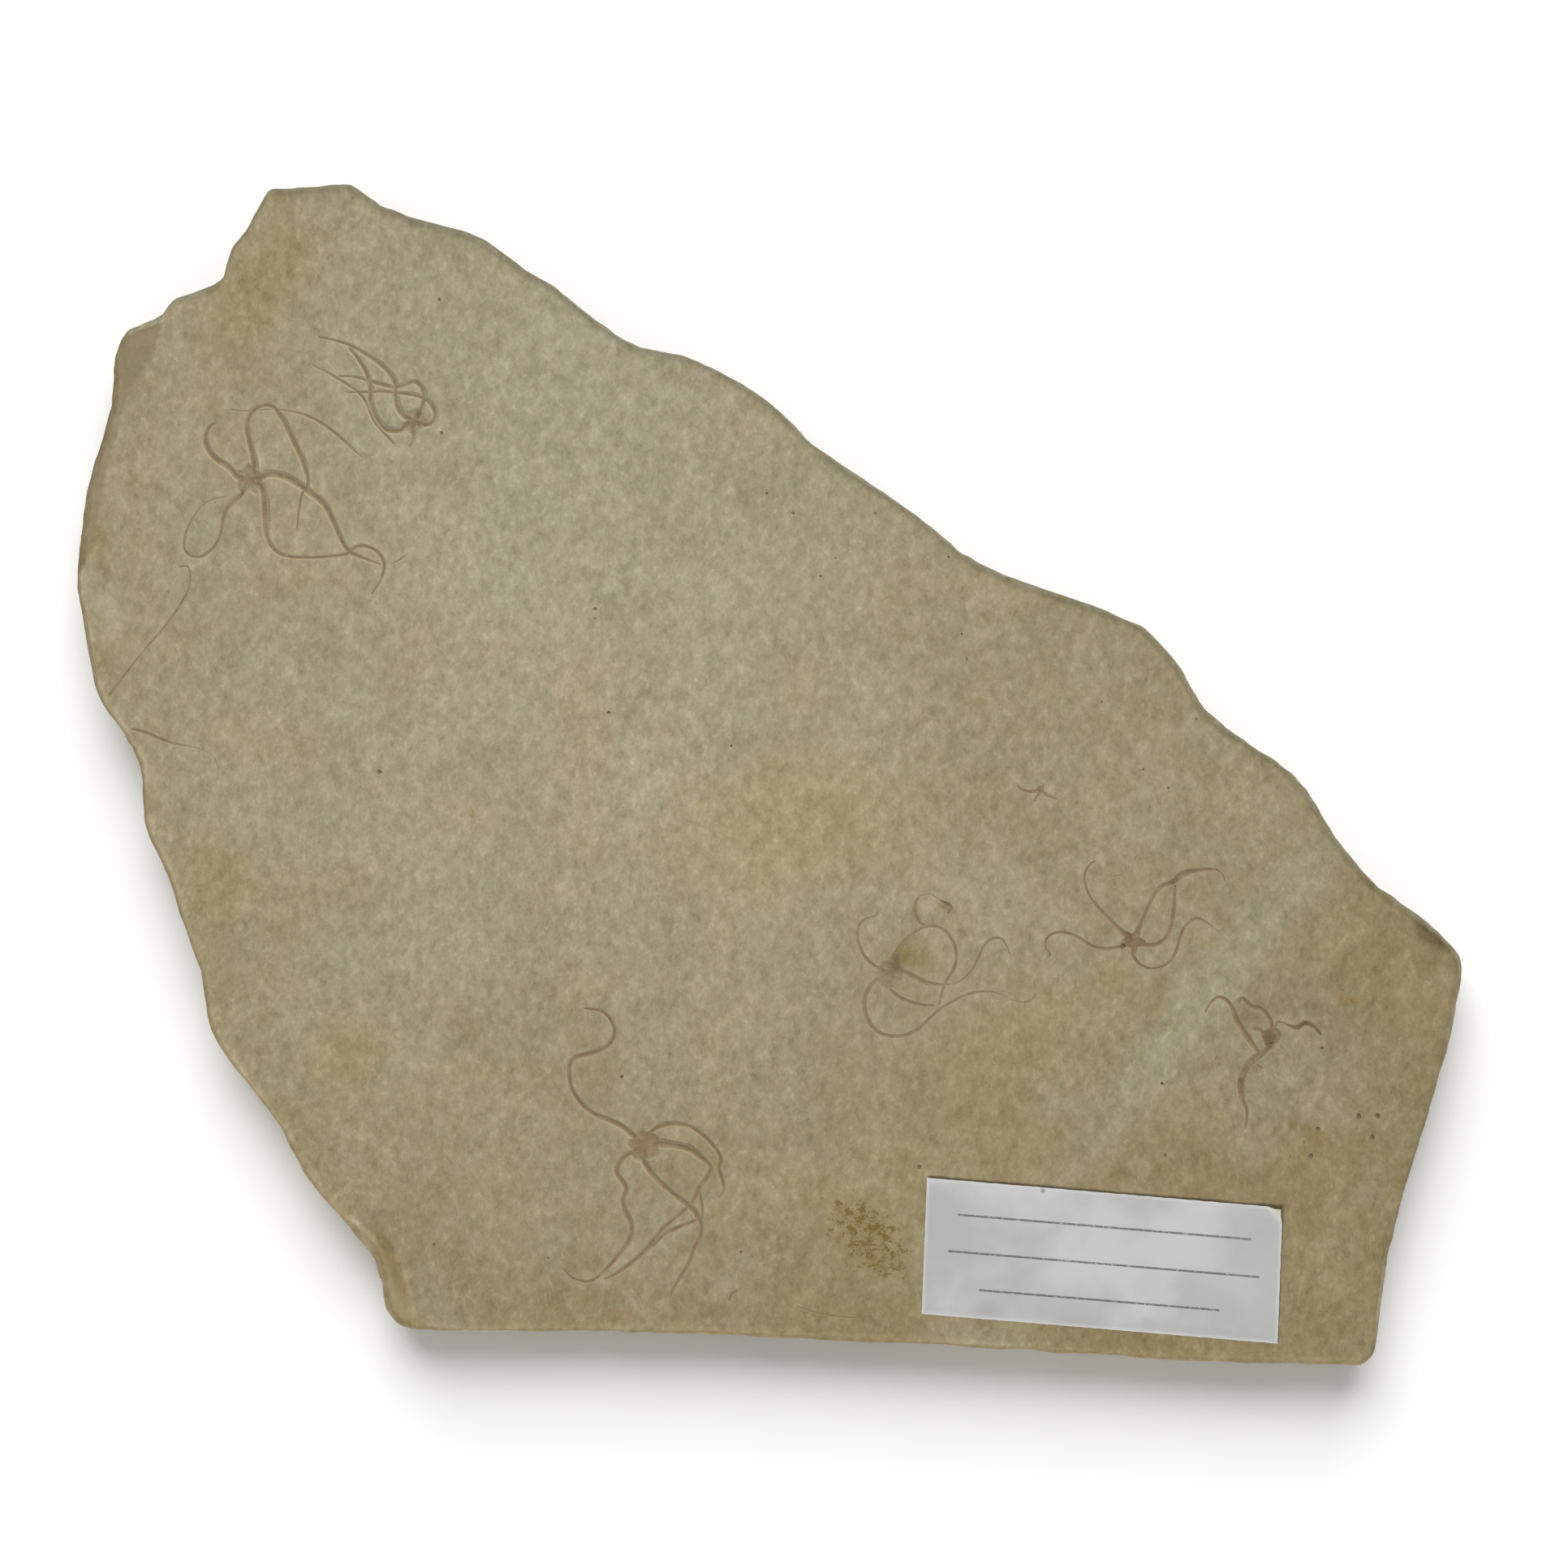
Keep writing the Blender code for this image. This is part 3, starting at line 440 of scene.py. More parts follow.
# Darker places on the fossils: (x, y, radius, strength)
DARK_SPOTS = [
    (93.3, -49.3, 1.7, 0.6), (87.9, -57.6, 0.9, 0.8), (98.6, -47.1, 1.0, 0.7), (100.4, -46.7, 1.5, 0.8),
    (102.6, -48.2, 1.0, 0.8), (75.6, -19.9, 0.9, 0.75), (52.4, -33.6, 0.6, 0.7), (23.6, -35.0, 1.7, 0.45),
    (32.6, -24.3, 1.0, 0.7), (33.1, -26.1, 0.6, 0.7), (-68.4, 66.0, 0.9, 0.4), (-65.3, 67.4, 1.0, 0.45),
    (-63.7, 65.4, 0.9, 0.45), (-98.7, 52.4, 0.9, 0.4), (67.0, -29.9, 0.8, 0.4), (69.2, -31.4, 0.8, 0.4),
]
PAPER = (196, 196, 194)
PAPER_GREY = (177, 177, 176)
PAPER_RIM = (210, 210, 208)
PAPER_AGED = (184, 175, 146)
INK = (70, 70, 72)
SMUDGES = [  # centre on the label, radius, colour, strength
    ((-11.6, 12.2), 0.55, (70, 68, 66), 0.8),
    ((-21.0, -10.6), 2.6, (168, 166, 160), 0.45),
    ((9.0, -11.2), 2.2, (170, 168, 163), 0.4),
    ((26.0, 3.0), 5.0, (176, 175, 172), 0.4),
]

# ------------------------------------------------------------------ camera and light
CAMERA_CENTRE = (2.65, -1.74)
FRAME_WIDTH = 293.08  # what the picture spans at the height of the upper face
LENS = 100.0
SENSOR = 36.0
FLOOR_REACH = 4.0
FLOOR_LEVEL = -0.0002
SKY = 0.45
KEY_LIGHT = {"from": (-0.38, -0.66, 0.66), "share": 0.57, "spread": 24.0}  # on the slab, from lower left
FLOOR_LIGHT = {"from": (-0.08, 0.76, 0.62), "share": 0.74, "spread": 54.0}  # on the floor, from above


# ================================================================== curves and heights
def spline(points, step):
    """Points about step apart along a smooth curve through the given ones."""
    points = [Vector(p) for p in points]
    run = [2 * points[0] - points[1], *points, 2 * points[-1] - points[-2]]
    fine = []
    for before, start, end, after in zip(run, run[1:], run[2:], run[3:]):
        fine += [blend_four(before, start, end, after, k / SPAN_POINTS) for k in range(SPAN_POINTS)]
    return resample([*fine, points[-1]], step)


def resample(line, step):
    """Points about step apart along a line of straight pieces, from its start to its end."""
    lengths = [0.0]
    for a, b in zip(line, line[1:]):
        lengths.append(lengths[-1] + (b - a).length)
    count = max(2, round(lengths[-1] / step))
    stations, k = [], 0
    for i in range(count + 1):
        along = lengths[-1] * i / count
        while k < len(line) - 2 and lengths[k + 1] < along:
            k += 1
        span = max(lengths[k + 1] - lengths[k], 1e-9)
        stations.append(line[k].lerp(line[k + 1], (along - lengths[k]) / span))
    return stations


def blend_four(before, start, end, after, t):
    """Centripetal Catmull-Rom curve from start to end."""
    knots = [0.0]
    for a, b in ((before, start), (start, end), (end, after)):
        knots.append(knots[-1] + max((b - a).length, 0.001) ** 0.5)
    k0, k1, k2, k3 = knots
    at = k1 + (k2 - k1) * t
    low = before.lerp(start, (at - k0) / (k1 - k0))
    mid = start.lerp(end, (at - k1) / (k2 - k1))
    high = end.lerp(after, (at - k2) / (k3 - k2))
    return low.lerp(mid, (at - k0) / (k2 - k0)).lerp(mid.lerp(high, (at - k1) / (k3 - k1)), t)


def smooth(value):
    """A soft step from 0 to 1."""
    value = min(max(value, 0.0), 1.0)
    return value * value * (3 - 2 * value)


def waves(table, x, y, z=0.0):
    return sum(height * noise.noise(Vector((x / length, y / length, z / length + 7.3 * seed)))
               for length, height, seed in table)


def solid_tree(name):
    """The CAD node as a tree for rays, in millimetres."""
    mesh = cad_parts[name].data
    points = [vertex.co / MM for vertex in mesh.vertices]
    return BVHTree.FromPolygons(points, [tuple(face.vertices) for face in mesh.polygons])


slab_tree = solid_tree("slab")


def solid_height(x, y):
    """Height of the solid's upper side."""
    hit = slab_tree.ray_cast(Vector((x, y, 2 * TOP)), Vector((0, 0, -1)))[0]
    return TOP if hit is None else hit.z


def face_height(x, y):
    """Height of the stone: the solid's, with low waves, which are rougher where a piece broke off."""
    base = solid_height(x, y)
    broken = smooth((TOP - base - 0.2) / 0.8)
    return base + waves(FACE_WAVES, x, y) + broken * waves(SCAR_WAVES, x, y)


# ================================================================== colours of the stone
def linear(colour):
    """Scene-linear colour from sRGB values of 0 to 255."""
    parts = [value / 255 for value in colour]
    return (*(v / 12.92 if v <= 0.04045 else ((v + 0.055) / 1.055) ** 2.4 for v in parts), 1.0)


def blend(a, b, share):
    """A linear colour between a and b. Either may be given as three sRGB values."""
    a, b = (linear(c) if len(c) == 3 else c for c in (a, b))
    return tuple(u + (v - u) * share for u, v in zip(a, b))


def in_patch(x, y, centre, radii, turn, soft):
    """1 inside a tilted ellipse, falling softly to 0 outside it."""
    turn = math.radians(turn)
    u, v = x - centre[0], y - centre[1]
    away = math.hypot((u * math.cos(turn) + v * math.sin(turn)) / radii[0],
                      (v * math.cos(turn) - u * math.sin(turn)) / radii[1])
    return smooth((1 + soft / 2 - away) / (1.5 * soft))


def drift_at(x, y):
    """Which way the edges of stains wander at a place, with a length of up to about 1."""
    return noise.noise_vector(Vector((x / DRIFT_LENGTH, y / DRIFT_LENGTH, 9.0)))


def face_colour(x, y):
    """Broad colour of the upper face: palest left of the middle, deeper towards the edges, with stains."""
    rise = y - PALE_CENTRE[1]
    away = math.hypot((x - PALE_CENTRE[0]) / PALE_REACH[0],
                      rise / (PALE_REACH[1] if rise < 0 else PALE_REACH[2]))
    away += waves(TONE_WAVES, x, y)
    colour = blend(STONE_PALE, STONE_DEEP, min(max(away / TONE_SPAN, 0.0), 1.0))
    hue = waves(HUE_WAVES, x, y)
    colour = blend(colour, TAN if hue > 0 else SAGE, HUE_SHARE * smooth(abs(hue) / HUE_SPAN))
    drift = drift_at(x, y)
    for centre, radii, turn, paint, strength, soft in STAINS:
        reach = min(STAIN_DRIFT[0] * min(radii), STAIN_DRIFT[1])
        share = in_patch(x + reach * drift.x, y + reach * drift.y, centre, radii, turn, soft)
        colour = blend(colour, paint, strength * share)
    return colour


def scar_share(x, y):
    """1 on the facet and on the chip, which lie to the left of their edges, and 0 on the whole face."""
    share = 0.0
    for edge in (FACET_EDGE, CHIP_EDGE):
        xs, ys = zip(*reversed(edge))
        if ys[0] < y < ys[-1]:
            share = max(share, smooth((np.interp(y, ys, xs) - x) / SCAR_BLUR + 0.5))
    return share


def dark_share(x, y):
    """How much darker than the rest of a fossil a place on it is."""
    return max(strength * smooth(SPOT_REACH - math.hypot(x - spot_x, y - spot_y) / radius)
               for spot_x, spot_y, radius, strength in DARK_SPOTS)


def ochre_share(x, y):
    """How thickly a place is covered with the ragged ochre stain."""
    drift = drift_at(x, y)
    u, v = x + OCHRE_DRIFT * drift.x, y + OCHRE_DRIFT * drift.y
    return max(strength * in_patch(u, v, centre, radii, turn, soft)
               for centre, radii, turn, strength, soft in OCHRE_STAINS)


def bed_sway(x, y):
    """How far the beds of the stone lie up or down at a place."""
    return noise.noise(Vector((x / BED_SWAY, y / BED_SWAY, 3.0)))


def side_colour(x, y, z):
    """Colour of the broken edge, in thin beds."""
    bed = waves(BED_WAVES, x / BED_RUN, y / BED_RUN, z + 0.8 * bed_sway(x, y))
    colour = blend(SIDE_DARK, SIDE_PALE, smooth(0.5 + bed))
    rust = waves(RUST_WAVES, x, y, 1.5 * z)
    colour = blend(colour, SIDE_RUST, RUST_SHARE * smooth(rust / 0.7))
    # Painted shade: the rim's brown over the broken edge towards its left end
    return blend(colour, RIM, LEFT_SHARE * smooth((LEFT_END - x) / LEFT_FADE))


# ================================================================== meshes
class Shell:
    """Points, faces and named values at the points, gathered for one mesh."""

    def __init__(self, *names):
        self.points, self.faces = [], []
        self.values = {name: [] for name in names}  # numbers, or colours of four numbers

    def add(self, points, **values):
        """Adds points, each value given once for all of them or once for each, and returns their numbers."""
        first = len(self.points)
        self.points += points
        for name, value in values.items():
            self.values[name] += value if isinstance(value, list) else [value] * len(points)
        return list(range(first, len(self.points)))

    def join(self, low, high):
        """Quads between two closed rings with the same count of points."""
        for i, (a, b) in enumerate(zip(low, high)):
            j = (i + 1) % len(low)
            self.faces.append((a, low[j], high[j], b))

    def build(self, name, material, crease=None):
        """Makes the object, with its faces turned outwards."""
        mesh = bpy.data.meshes.new(name)
        mesh.from_pydata([(x * MM, y * MM, z * MM) for x, y, z in self.points], [], self.faces)
        for value_name, values in self.values.items():
            if isinstance(values[0], tuple):
                layer = mesh.attributes.new(value_name, "FLOAT_COLOR", "POINT")
                layer.data.foreach_set("color", [part for colour in values for part in colour])
            else:
                mesh.attributes.new(value_name, "FLOAT", "POINT").data.foreach_set("value", values)
        bm = bmesh.new()
        bm.from_mesh(mesh)
        bmesh.ops.recalc_face_normals(bm, faces=bm.faces)
        bm.to_mesh(mesh)
        bm.free()
        mesh.shade_smooth()
        if crease:
            mesh.set_sharp_from_angle(angle=math.radians(crease))
        mesh.materials.append(material)
        item = bpy.data.objects.new(name, mesh)
        bpy.context.scene.collection.objects.link(item)
        return item


def stand_for(node, item):
    """Puts the item in the place of a CAD node, on the one body that there is."""
    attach(item, "root")
    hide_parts(node)
    return item


# ================================================================== the slab
def slab_outline():
    """The solid's outline at one height, anticlockwise, as evenly spaced, slightly smoothed points."""
    bm = bmesh.new()
    bm.from_mesh(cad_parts["slab"].data)
    bmesh.ops.remove_doubles(bm, verts=bm.verts, dist=0.001 * MM)
    cut = bmesh.ops.bisect_plane(bm, geom=[*bm.verts, *bm.edges, *bm.faces],
                                 plane_co=(0, 0, SECTION_HEIGHT * MM), plane_no=(0, 0, 1))
    edges = [part for part in cut["geom_cut"] if isinstance(part, bmesh.types.BMEdge)]
    vertex, left = edges[0].verts[0], set(edges)
    loop = [vertex.co.xy / MM]
    while left:
        edge = next(edge for edge in vertex.link_edges if edge in left)
        left.remove(edge)
        vertex = edge.other_vert(vertex)
        loop.append(vertex.co.xy / MM)
    bm.free()
    ring = np.array([tuple(point) for point in resample(loop, RING_STEP)[:-1]])
    ring = (np.roll(ring, 1, axis=0) + 2 * ring + np.roll(ring, -1, axis=0)) / 4
    x, y = ring.T
    area = np.sum(x * np.roll(y, -1) - y * np.roll(x, -1))
    return ring if area > 0 else ring[::-1]


def inward_directions(ring):
    along = np.roll(ring, -1, axis=0) - np.roll(ring, 1, axis=0)
    across = np.stack([-along[:, 1], along[:, 0]], axis=1)
    return across / np.linalg.norm(across, axis=1)[:, None]


def rim_height(point, into):
    """Height of the solid's upper face just inside its edge."""
    probes = [solid_height(*(point + into * reach)) for reach in RIM_PROBES]
    return next(height for height in probes if height > max(probes) - RIM_STEP)


def side_setbacks(ring, inward, rims):
    """How far the solid's side lies inside the outline, by row and by point of the outline."""
    table = np.zeros((SIDE_ROWS + 1, len(ring)))
    for i, (point, into) in enumerate(zip(ring, inward)):
        start = point - into * RAY_START
        for row in range(SIDE_ROWS + 1):
            height = min(max(rims[i] * row / SIDE_ROWS, RAY_MARGIN), rims[i] - RAY_MARGIN)
            hit = slab_tree.ray_cast(Vector((*start, height)), Vector((*into, 0)), 2 * RAY_START)[0]
            table[row, i] = table[row - 1, i] if hit is None else np.dot(np.array(hit.xy) - point, into)
    return (np.roll(table, 1, axis=1) + 2 * table + np.roll(table, -1, axis=1)) / 4


def under_height(x, y):
    return max(0.0, UNDER_LIFT + waves(UNDER_WAVES, x, y))


def side_rough(x, y, z):
    """How far the broken edge steps back at a point: thin beds, and the roughness of the break."""
    bed = math.floor((z + bed_sway(x, y)) / LAMINA)
    return (LAMINA_SWING * noise.noise(Vector((x / 16, y / 16, 5.7 * bed)))
            + waves(EDGE_WAVES, x, y, z))


def side_rows(ring):
    """Rows of points from the underside's edge up to the upper rim."""
    inward = inward_directions(ring)
    rims = [rim_height(point, into) for point, into in zip(ring, inward)]
    setbacks = side_setbacks(ring, inward, rims)
    furthest = setbacks.min(axis=0)
    rows = []
    for row in range(SIDE_ROWS + 1):
        points = []
        for i, (point, into) in enumerate(zip(ring, inward)):
            x, y = point
            wear = 0.5 + 0.5 * noise.noise(Vector((x / 4, y / 4, 40.0)))
            top = rims[i] + waves(FACE_WAVES, x, y) - RIM_DROP[0] - (RIM_DROP[1] - RIM_DROP[0]) * wear
            foot = under_height(x, y)
            z = foot + (top - foot) * row / SIDE_ROWS
            calm = 0.3 + 0.7 * smooth((top - z) / RIM_BAND)
            back = max(setbacks[row, i] + calm * side_rough(x, y, z), furthest[i] - PROUD)
            points.append((*(point + into * back), z))
        rows.append(points)
    return rows


def hex_grid(step, seed):
    """Points over the slab's box in rows, moved a little at random."""
    chance = random.Random(seed)
    low, high = cad_low / MM, cad_high / MM
    points = []
    row_step = step * math.sqrt(3) / 2
    for row in range(int((high.y - low.y) / row_step) + 1):
        for column in range(int((high.x - low.x) / step) + 1):
            points.append((low.x + step * (column + row % 2 / 2 + chance.uniform(-0.16, 0.16)),
                           low.y + row_step * row + step * chance.uniform(-0.16, 0.16)))
    return np.array(points)


def inside(points, ring):
    """Which points lie in a closed ring, by counting the ring's edges to one side of them."""
    x, y = points.T
    odd = np.zeros(len(points), bool)
    for (ax, ay), (bx, by) in zip(ring, np.roll(ring, -1, axis=0)):
        if ay != by:
            odd ^= ((ay > y) != (by > y)) & (x < ax + (y - ay) * (bx - ax) / (by - ay))
    return odd


def point_tree(points):
    tree = KDTree(len(points))
    for i, (x, y) in enumerate(points):
        tree.insert((x, y, 0.0), i)
    tree.balance()
    return tree


def distance(tree, x, y):
    return tree.find((x, y, 0.0))[2]


def cover(shell, ring, numbers, loose, height, values):
    """Fills a ring of the shell's points with triangles over loose points, at the height of a function."""
    flat = [Vector(p) for p in ring] + [Vector(p) for p in loose]
    edges = [(i, (i + 1) % len(ring)) for i in range(len(ring))]
    found = delaunay_2d_cdt(flat, edges, [list(range(len(ring)))], 1, 1e-6)
    number_of = []
    for point, sources in zip(found[0], found[3]):
        source = min(sources, default=len(flat))
        if source < len(ring):
            number_of.append(numbers[source])
        else:
            here = (point.x, point.y, height(point.x, point.y))
            number_of += shell.add([here], **values(*here))
    shell.faces += [tuple(number_of[i] for i in face) for face in found[2]]


def make_slab(material, fossil_points):
    """The stone: broken sides in thin beds, a finely uneven face with two scars, and a plain underside."""
    ring = slab_outline()
    rows = side_rows(ring)
    shell = Shell("ground", "ochre", "calm")
    lit = inward_directions(ring) @ np.array(RIM_SIDE)  # above 0 where the broken edge faces the light
    # Painted shade on the rim where the broken edge faces the light, over a little brown that the rim has
    # all round, and painted highlight where it turns away
    worn = [RIM_WEAR_AND_SHADE[0] + RIM_WEAR_AND_SHADE[1] * smooth(0.5 + 0.7 * facing) for facing in lit]
    bare = [RIM_PAINTED_HIGHLIGHT_SHARE * smooth(-1.5 * facing - 0.1) for facing in lit]

    # The rim's brown with its painted shade, then its painted highlight
    def rim_colour(colour, share, pale):
        return blend(blend(colour, RIM, share), RIM_PAINTED_HIGHLIGHT, pale)

    loops = []
    for row, points in enumerate(rows[:-1]):
        # The rim's brown, painted shade and painted highlight reach a few rows down the side
        near = smooth((row - SIDE_ROWS + RIM_ROWS) / RIM_FADE)
        colours = [rim_colour(side_colour(*p), share * near, pale * near)
                   for p, share, pale in zip(points, worn, bare)]
        loops.append(shell.add(points, ground=colours, ochre=0.0, calm=0.0))
    # The upper rim, with its painted shade and painted highlight
    colours = [rim_colour(face_colour(x, y), share, pale)
               for (x, y, z), share, pale in zip(rows[-1], worn, bare)]
    ochres = [ochre_share(x, y) for x, y, z in rows[-1]]
    loops.append(shell.add(rows[-1], ground=colours, ochre=ochres, calm=0.0))
    for low, high in zip(loops, loops[1:]):
        shell.join(low, high)
    fossils = point_tree(fossil_points)
    scars = point_tree([tuple(p) for edge in (FACET_EDGE, CHIP_EDGE) for p in spline(edge, FINE_STEP)]
                       + [centre for centre, radii, *paint in STAINS if min(radii) < SMALL_STAIN])

    rim = np.array([point[:2] for point in rows[-1]])
    rim_tree = point_tree(rim)
    shoulder = rim + inward_directions(rim) * SHOULDER
    loose = [tuple(p) for p in shoulder[inside(shoulder, rim)]
             if distance(rim_tree, *p) > 0.8 * SHOULDER]
    for step, fine in ((TOP_STEP, False), (FINE_STEP, True)):
        grid = hex_grid(step, 5)
        for x, y in grid[inside(grid, rim)]:
            close = min(distance(fossils, x, y), distance(scars, x, y)) < FINE_ZONE
            if close == fine and distance(rim_tree, x, y) > SHOULDER + 0.45 * step:
                loose.append((x, y))

    def face_values(x, y, z):
        scar = scar_share(x, y)
        near = 1 - smooth(distance(fossils, x, y) / FINE_ZONE)
        colour = blend(face_colour(x, y), HALO, HALO_SHARE * near)
        # The facet gets painted shade, the chip its own darker colour
        paint, most = (FACET_PAINTED_SHADE, FACET_PAINTED_SHADE_SHARE) if y > 0 else (CHIP, CHIP_SHARE)
        ochre = ochre_share(x, y) * (1 - SCAR_CLEAN * scar)
        return {"ground": blend(colour, paint, most * scar), "ochre": ochre, "calm": SCAR_CALM * scar}

    cover(shell, rim, loops[-1], loose, face_height, face_values)
    foot = np.array([point[:2] for point in rows[0]])
    foot_tree = point_tree(foot)
    grid = hex_grid(UNDER_STEP, 6)
    loose = [(x, y) for x, y in grid[inside(grid, foot)] if distance(foot_tree, x, y) > UNDER_STEP / 2]

    def under_values(x, y, z):
        return {"ground": blend(face_colour(x, y), UNDERSIDE, 0.6), "ochre": 0.0, "calm": 0.0}

    cover(shell, foot, loops[0], loose, under_height, under_values)
    return stand_for("slab", shell.build("limestone_slab", material, crease=50))


# ================================================================== the fossils
def read_along(values, share):
    """A value between evenly spaced ones, at a share of the way from the first to the last."""
    place = share * (len(values) - 1)
    k = min(int(place), len(values) - 2)
    return values[k] + (values[k + 1] - values[k]) * (place - k)


def make_arm(shell, widths, route, rise_share, foot_share, starts_blunt=False):
    """A tapering arm of short segments that lies on the stone. Its foot flattens out into the stone."""
    stations = spline(route, STATION)
    last = len(stations) - 1
    phase, loops = 0.0, []
    for i, point in enumerate(stations):
        along = (stations[min(i + 1, last)] - stations[max(i - 1, 0)]).normalized()
        across = Vector((-along.y, along.x))
        here = read_along(widths, i / last) * (1 + waves(ARM_WAVES, point.x, point.y))
        phase += STATION / (SEGMENT * (0.4 + 0.6 * here))
        plate = 1 - SEGMENT_BULGE + SEGMENT_BULGE * math.sin(math.pi * (phase % 1.0)) ** 0.6
        ends = min(1.0, (last - i) * STATION / here + TIP)
        if starts_blunt:
            ends = min(ends, i * STATION / here + TIP)
        half = foot_share * here / 2 * plate * math.sqrt(ends * (2 - ends))
        rise = here * rise_share * plate * ends
        level = face_height(point.x, point.y)
        section, crest = [], []
        for k in range(ARM_ROWS):
            side = 2 * k / (ARM_ROWS - 1) - 1
            up = math.cos(math.pi / 2 * side) ** ARM_ROUNDING
            section.append((*(point + across * half * side), level - HAIR + rise * up))
            body = math.cos(math.pi / 2 * min(1.0, abs(side) * foot_share / ARM_BODY)) ** ARM_ROUNDING
            crest.append(body * ends * smooth(here / CLEAR_WIDTH))
        for side in (1, -1):
            section.append((*(point + across * side * half * ARM_ROOT), level - SUNK))
        loops.append(shell.add(section, ground=face_colour(*point), dark=dark_share(*point),
                               crease=(1 - plate) / SEGMENT_BULGE, crest=crest + [0.0, 0.0]))
    for low, high in zip(loops, loops[1:]):
        shell.join(low, high)
    shell.faces += [tuple(loops[0]), tuple(loops[-1])]


def lobe_phase(centre, arms):
    """The turn that puts the disc's five lobes between its arms."""
    total = Vector((0.0, 0.0))
    for widths, route in arms:
        out = Vector(route[0]) - centre
        angle = RAYS * math.atan2(out.y, out.x)
        total += Vector((math.cos(angle), math.sin(angle)))
    return math.atan2(total.y, total.x)


def arm_line(x, y, centre, arms):
    """1 on the lines in which the arms run on to the disc's centre, falling to 0 beside them."""
    best = 0.0
    for widths, route in arms:
        span = Vector(route[0]) - centre
        share = min(max((Vector((x, y)) - centre).dot(span) / span.length_squared, 0.0), 1.0)
        away = (Vector((x, y)) - centre - span * share).length
        best = max(best, 1 - (away / (LINE_WIDTH * widths[0])) ** 2)
    return best


def make_disc(shell, star):
    """The disc: a low, uneven cushion. The arms run over it to its centre, with rounded lobes between."""
    centre, radius = Vector(star["disc"]), star["disc_radius"]
    phase = lobe_phase(centre, star["arms"])
    rise_scale = DISC_RISE * radius / DISC_RADIUS
    ground = face_colour(*centre)
    loops = []
    for ring in range(DISC_RINGS, 0, -1):
        out = ring / DISC_RINGS
        points, creases, crests = [], [], []
        for i in range(DISC_SIDES):
            angle = 2 * math.pi * i / DISC_SIDES
            around = centre + 0.8 * radius * Vector((math.cos(angle), math.sin(angle)))
            ragged = waves(DISC_EDGE_WAVES, *around)
            reach = radius * out * (1 - star["bulge"] * math.cos(RAYS * angle - phase) + ragged)
            x, y = centre.x + reach * math.cos(angle), centre.y + reach * math.sin(angle)
            bent = angle + waves(DISC_BENDS, x, y)
            # 0 along an arm, 0.5 in the middle of a lobe
            turn = ((RAYS * bent - phase) / (2 * math.pi)) % 1.0
            far = out * (1 + waves(DISC_BENDS, y, x))
            lobe = ((far - LOBE_OUT) / LOBE_LENGTH) ** 2 + ((turn - 0.5) / LOBE_WIDTH) ** 2
            lobe = max(0.0, 1 - lobe) ** DISC_ROUNDING
            line = arm_line(x, y, centre, star["arms"]) ** DISC_ROUNDING
            edge = smooth((1 - out) / DISC_EDGE)
            rise = rise_scale * (DISC_BASE + DISC_SWELL * max(lobe, line)) + waves(DISC_WAVES, x, y)
            sunk = SUNK if ring == DISC_RINGS else HAIR
            points.append((x, y, face_height(x, y) - sunk + rise * edge))
            creases.append(0.8 * (1 - max(lobe, line)))
            crests.append(edge * (star["lobes"] + (1 - star["lobes"]) * line))
        loops.append(shell.add(points, ground=ground, dark=[dark_share(x, y) for x, y, z in points],
                               crease=creases, crest=crests))
    for low, high in zip(loops, loops[1:]):
        shell.join(low, high)
    level = face_height(*centre)
    top = level + (DISC_BASE + DISC_SWELL) * rise_scale
    crown = shell.add([(*centre, top)], ground=ground, dark=dark_share(*centre),
                      crease=0.0, crest=1.0)[0]
    foot = shell.add([(*centre, level - SUNK)], ground=ground, dark=0.0, crease=0.0, crest=0.0)[0]
    for i in range(DISC_SIDES):
        j = (i + 1) % DISC_SIDES
        shell.faces += [(loops[-1][i], loops[-1][j], crown), (loops[0][j], loops[0][i], foot)]


def make_star(name, star, material):
    shell = Shell("ground", "dark", "crease", "crest")
    make_disc(shell, star)
    centre = Vector(star["disc"])
    for widths, route in star["arms"]:
        inner = centre.lerp(Vector(route[0]), 0.6)
        make_arm(shell, widths, [tuple(inner), *route], star["rise"], star["foot"])
    for widths, route in star["branches"]:
        make_arm(shell, widths, route, star["rise"], star["foot"], starts_blunt=True)
    return stand_for(name, shell.build(name + "_fossil", material))


def make_loose_arm(name, widths, route, material):
    shell = Shell("ground", "dark", "crease", "crest")
    make_arm(shell, widths, route, LOOSE_RISE, LOOSE_FOOT, starts_blunt=True)
    return stand_for(name, shell.build(name + "_fossil", material))


def make_traces(material):
    """Faint, broken traces of arms and hairline cracks, hardly raised."""
    shell = Shell("ground", "dark", "crease", "crest")
    for widths, route in TRACES:
        make_arm(shell, widths, route, TRACE_RISE, TRACE_FOOT, starts_blunt=True)
    return finish_extra(shell, "faint_traces", material)


def make_grains(material):
    """Small dark grains of iron oxide, set flush in the face."""
    shell = Shell("ground", "dark", "crease", "crest")
    for x, y, radius, lift in GRAINS:
        level = face_height(x, y) + lift
        loops = []
        for out, up in GRAIN_SECTION:
            ring = []
            for k in range(GRAIN_SIDES):
                angle = 2 * math.pi * k / GRAIN_SIDES
                uneven = waves(GRAIN_WAVES, x + math.cos(angle), y + math.sin(angle))
                reach = radius * out * (1 + uneven)
                ring.append((x + reach * math.cos(angle), y + reach * math.sin(angle), level + up * radius))
            loops.append(shell.add(ring, ground=face_colour(x, y), dark=0.0, crease=1.0, crest=1.0))
        for low, high in zip(loops, loops[1:]):
            shell.join(low, high)
        shell.faces += [tuple(loops[0]), tuple(loops[-1])]
    return finish_extra(shell, "dark_grains", material)


def finish_extra(shell, name, material):
    item = shell.build(name, material)
    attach(item, "root")
    return item


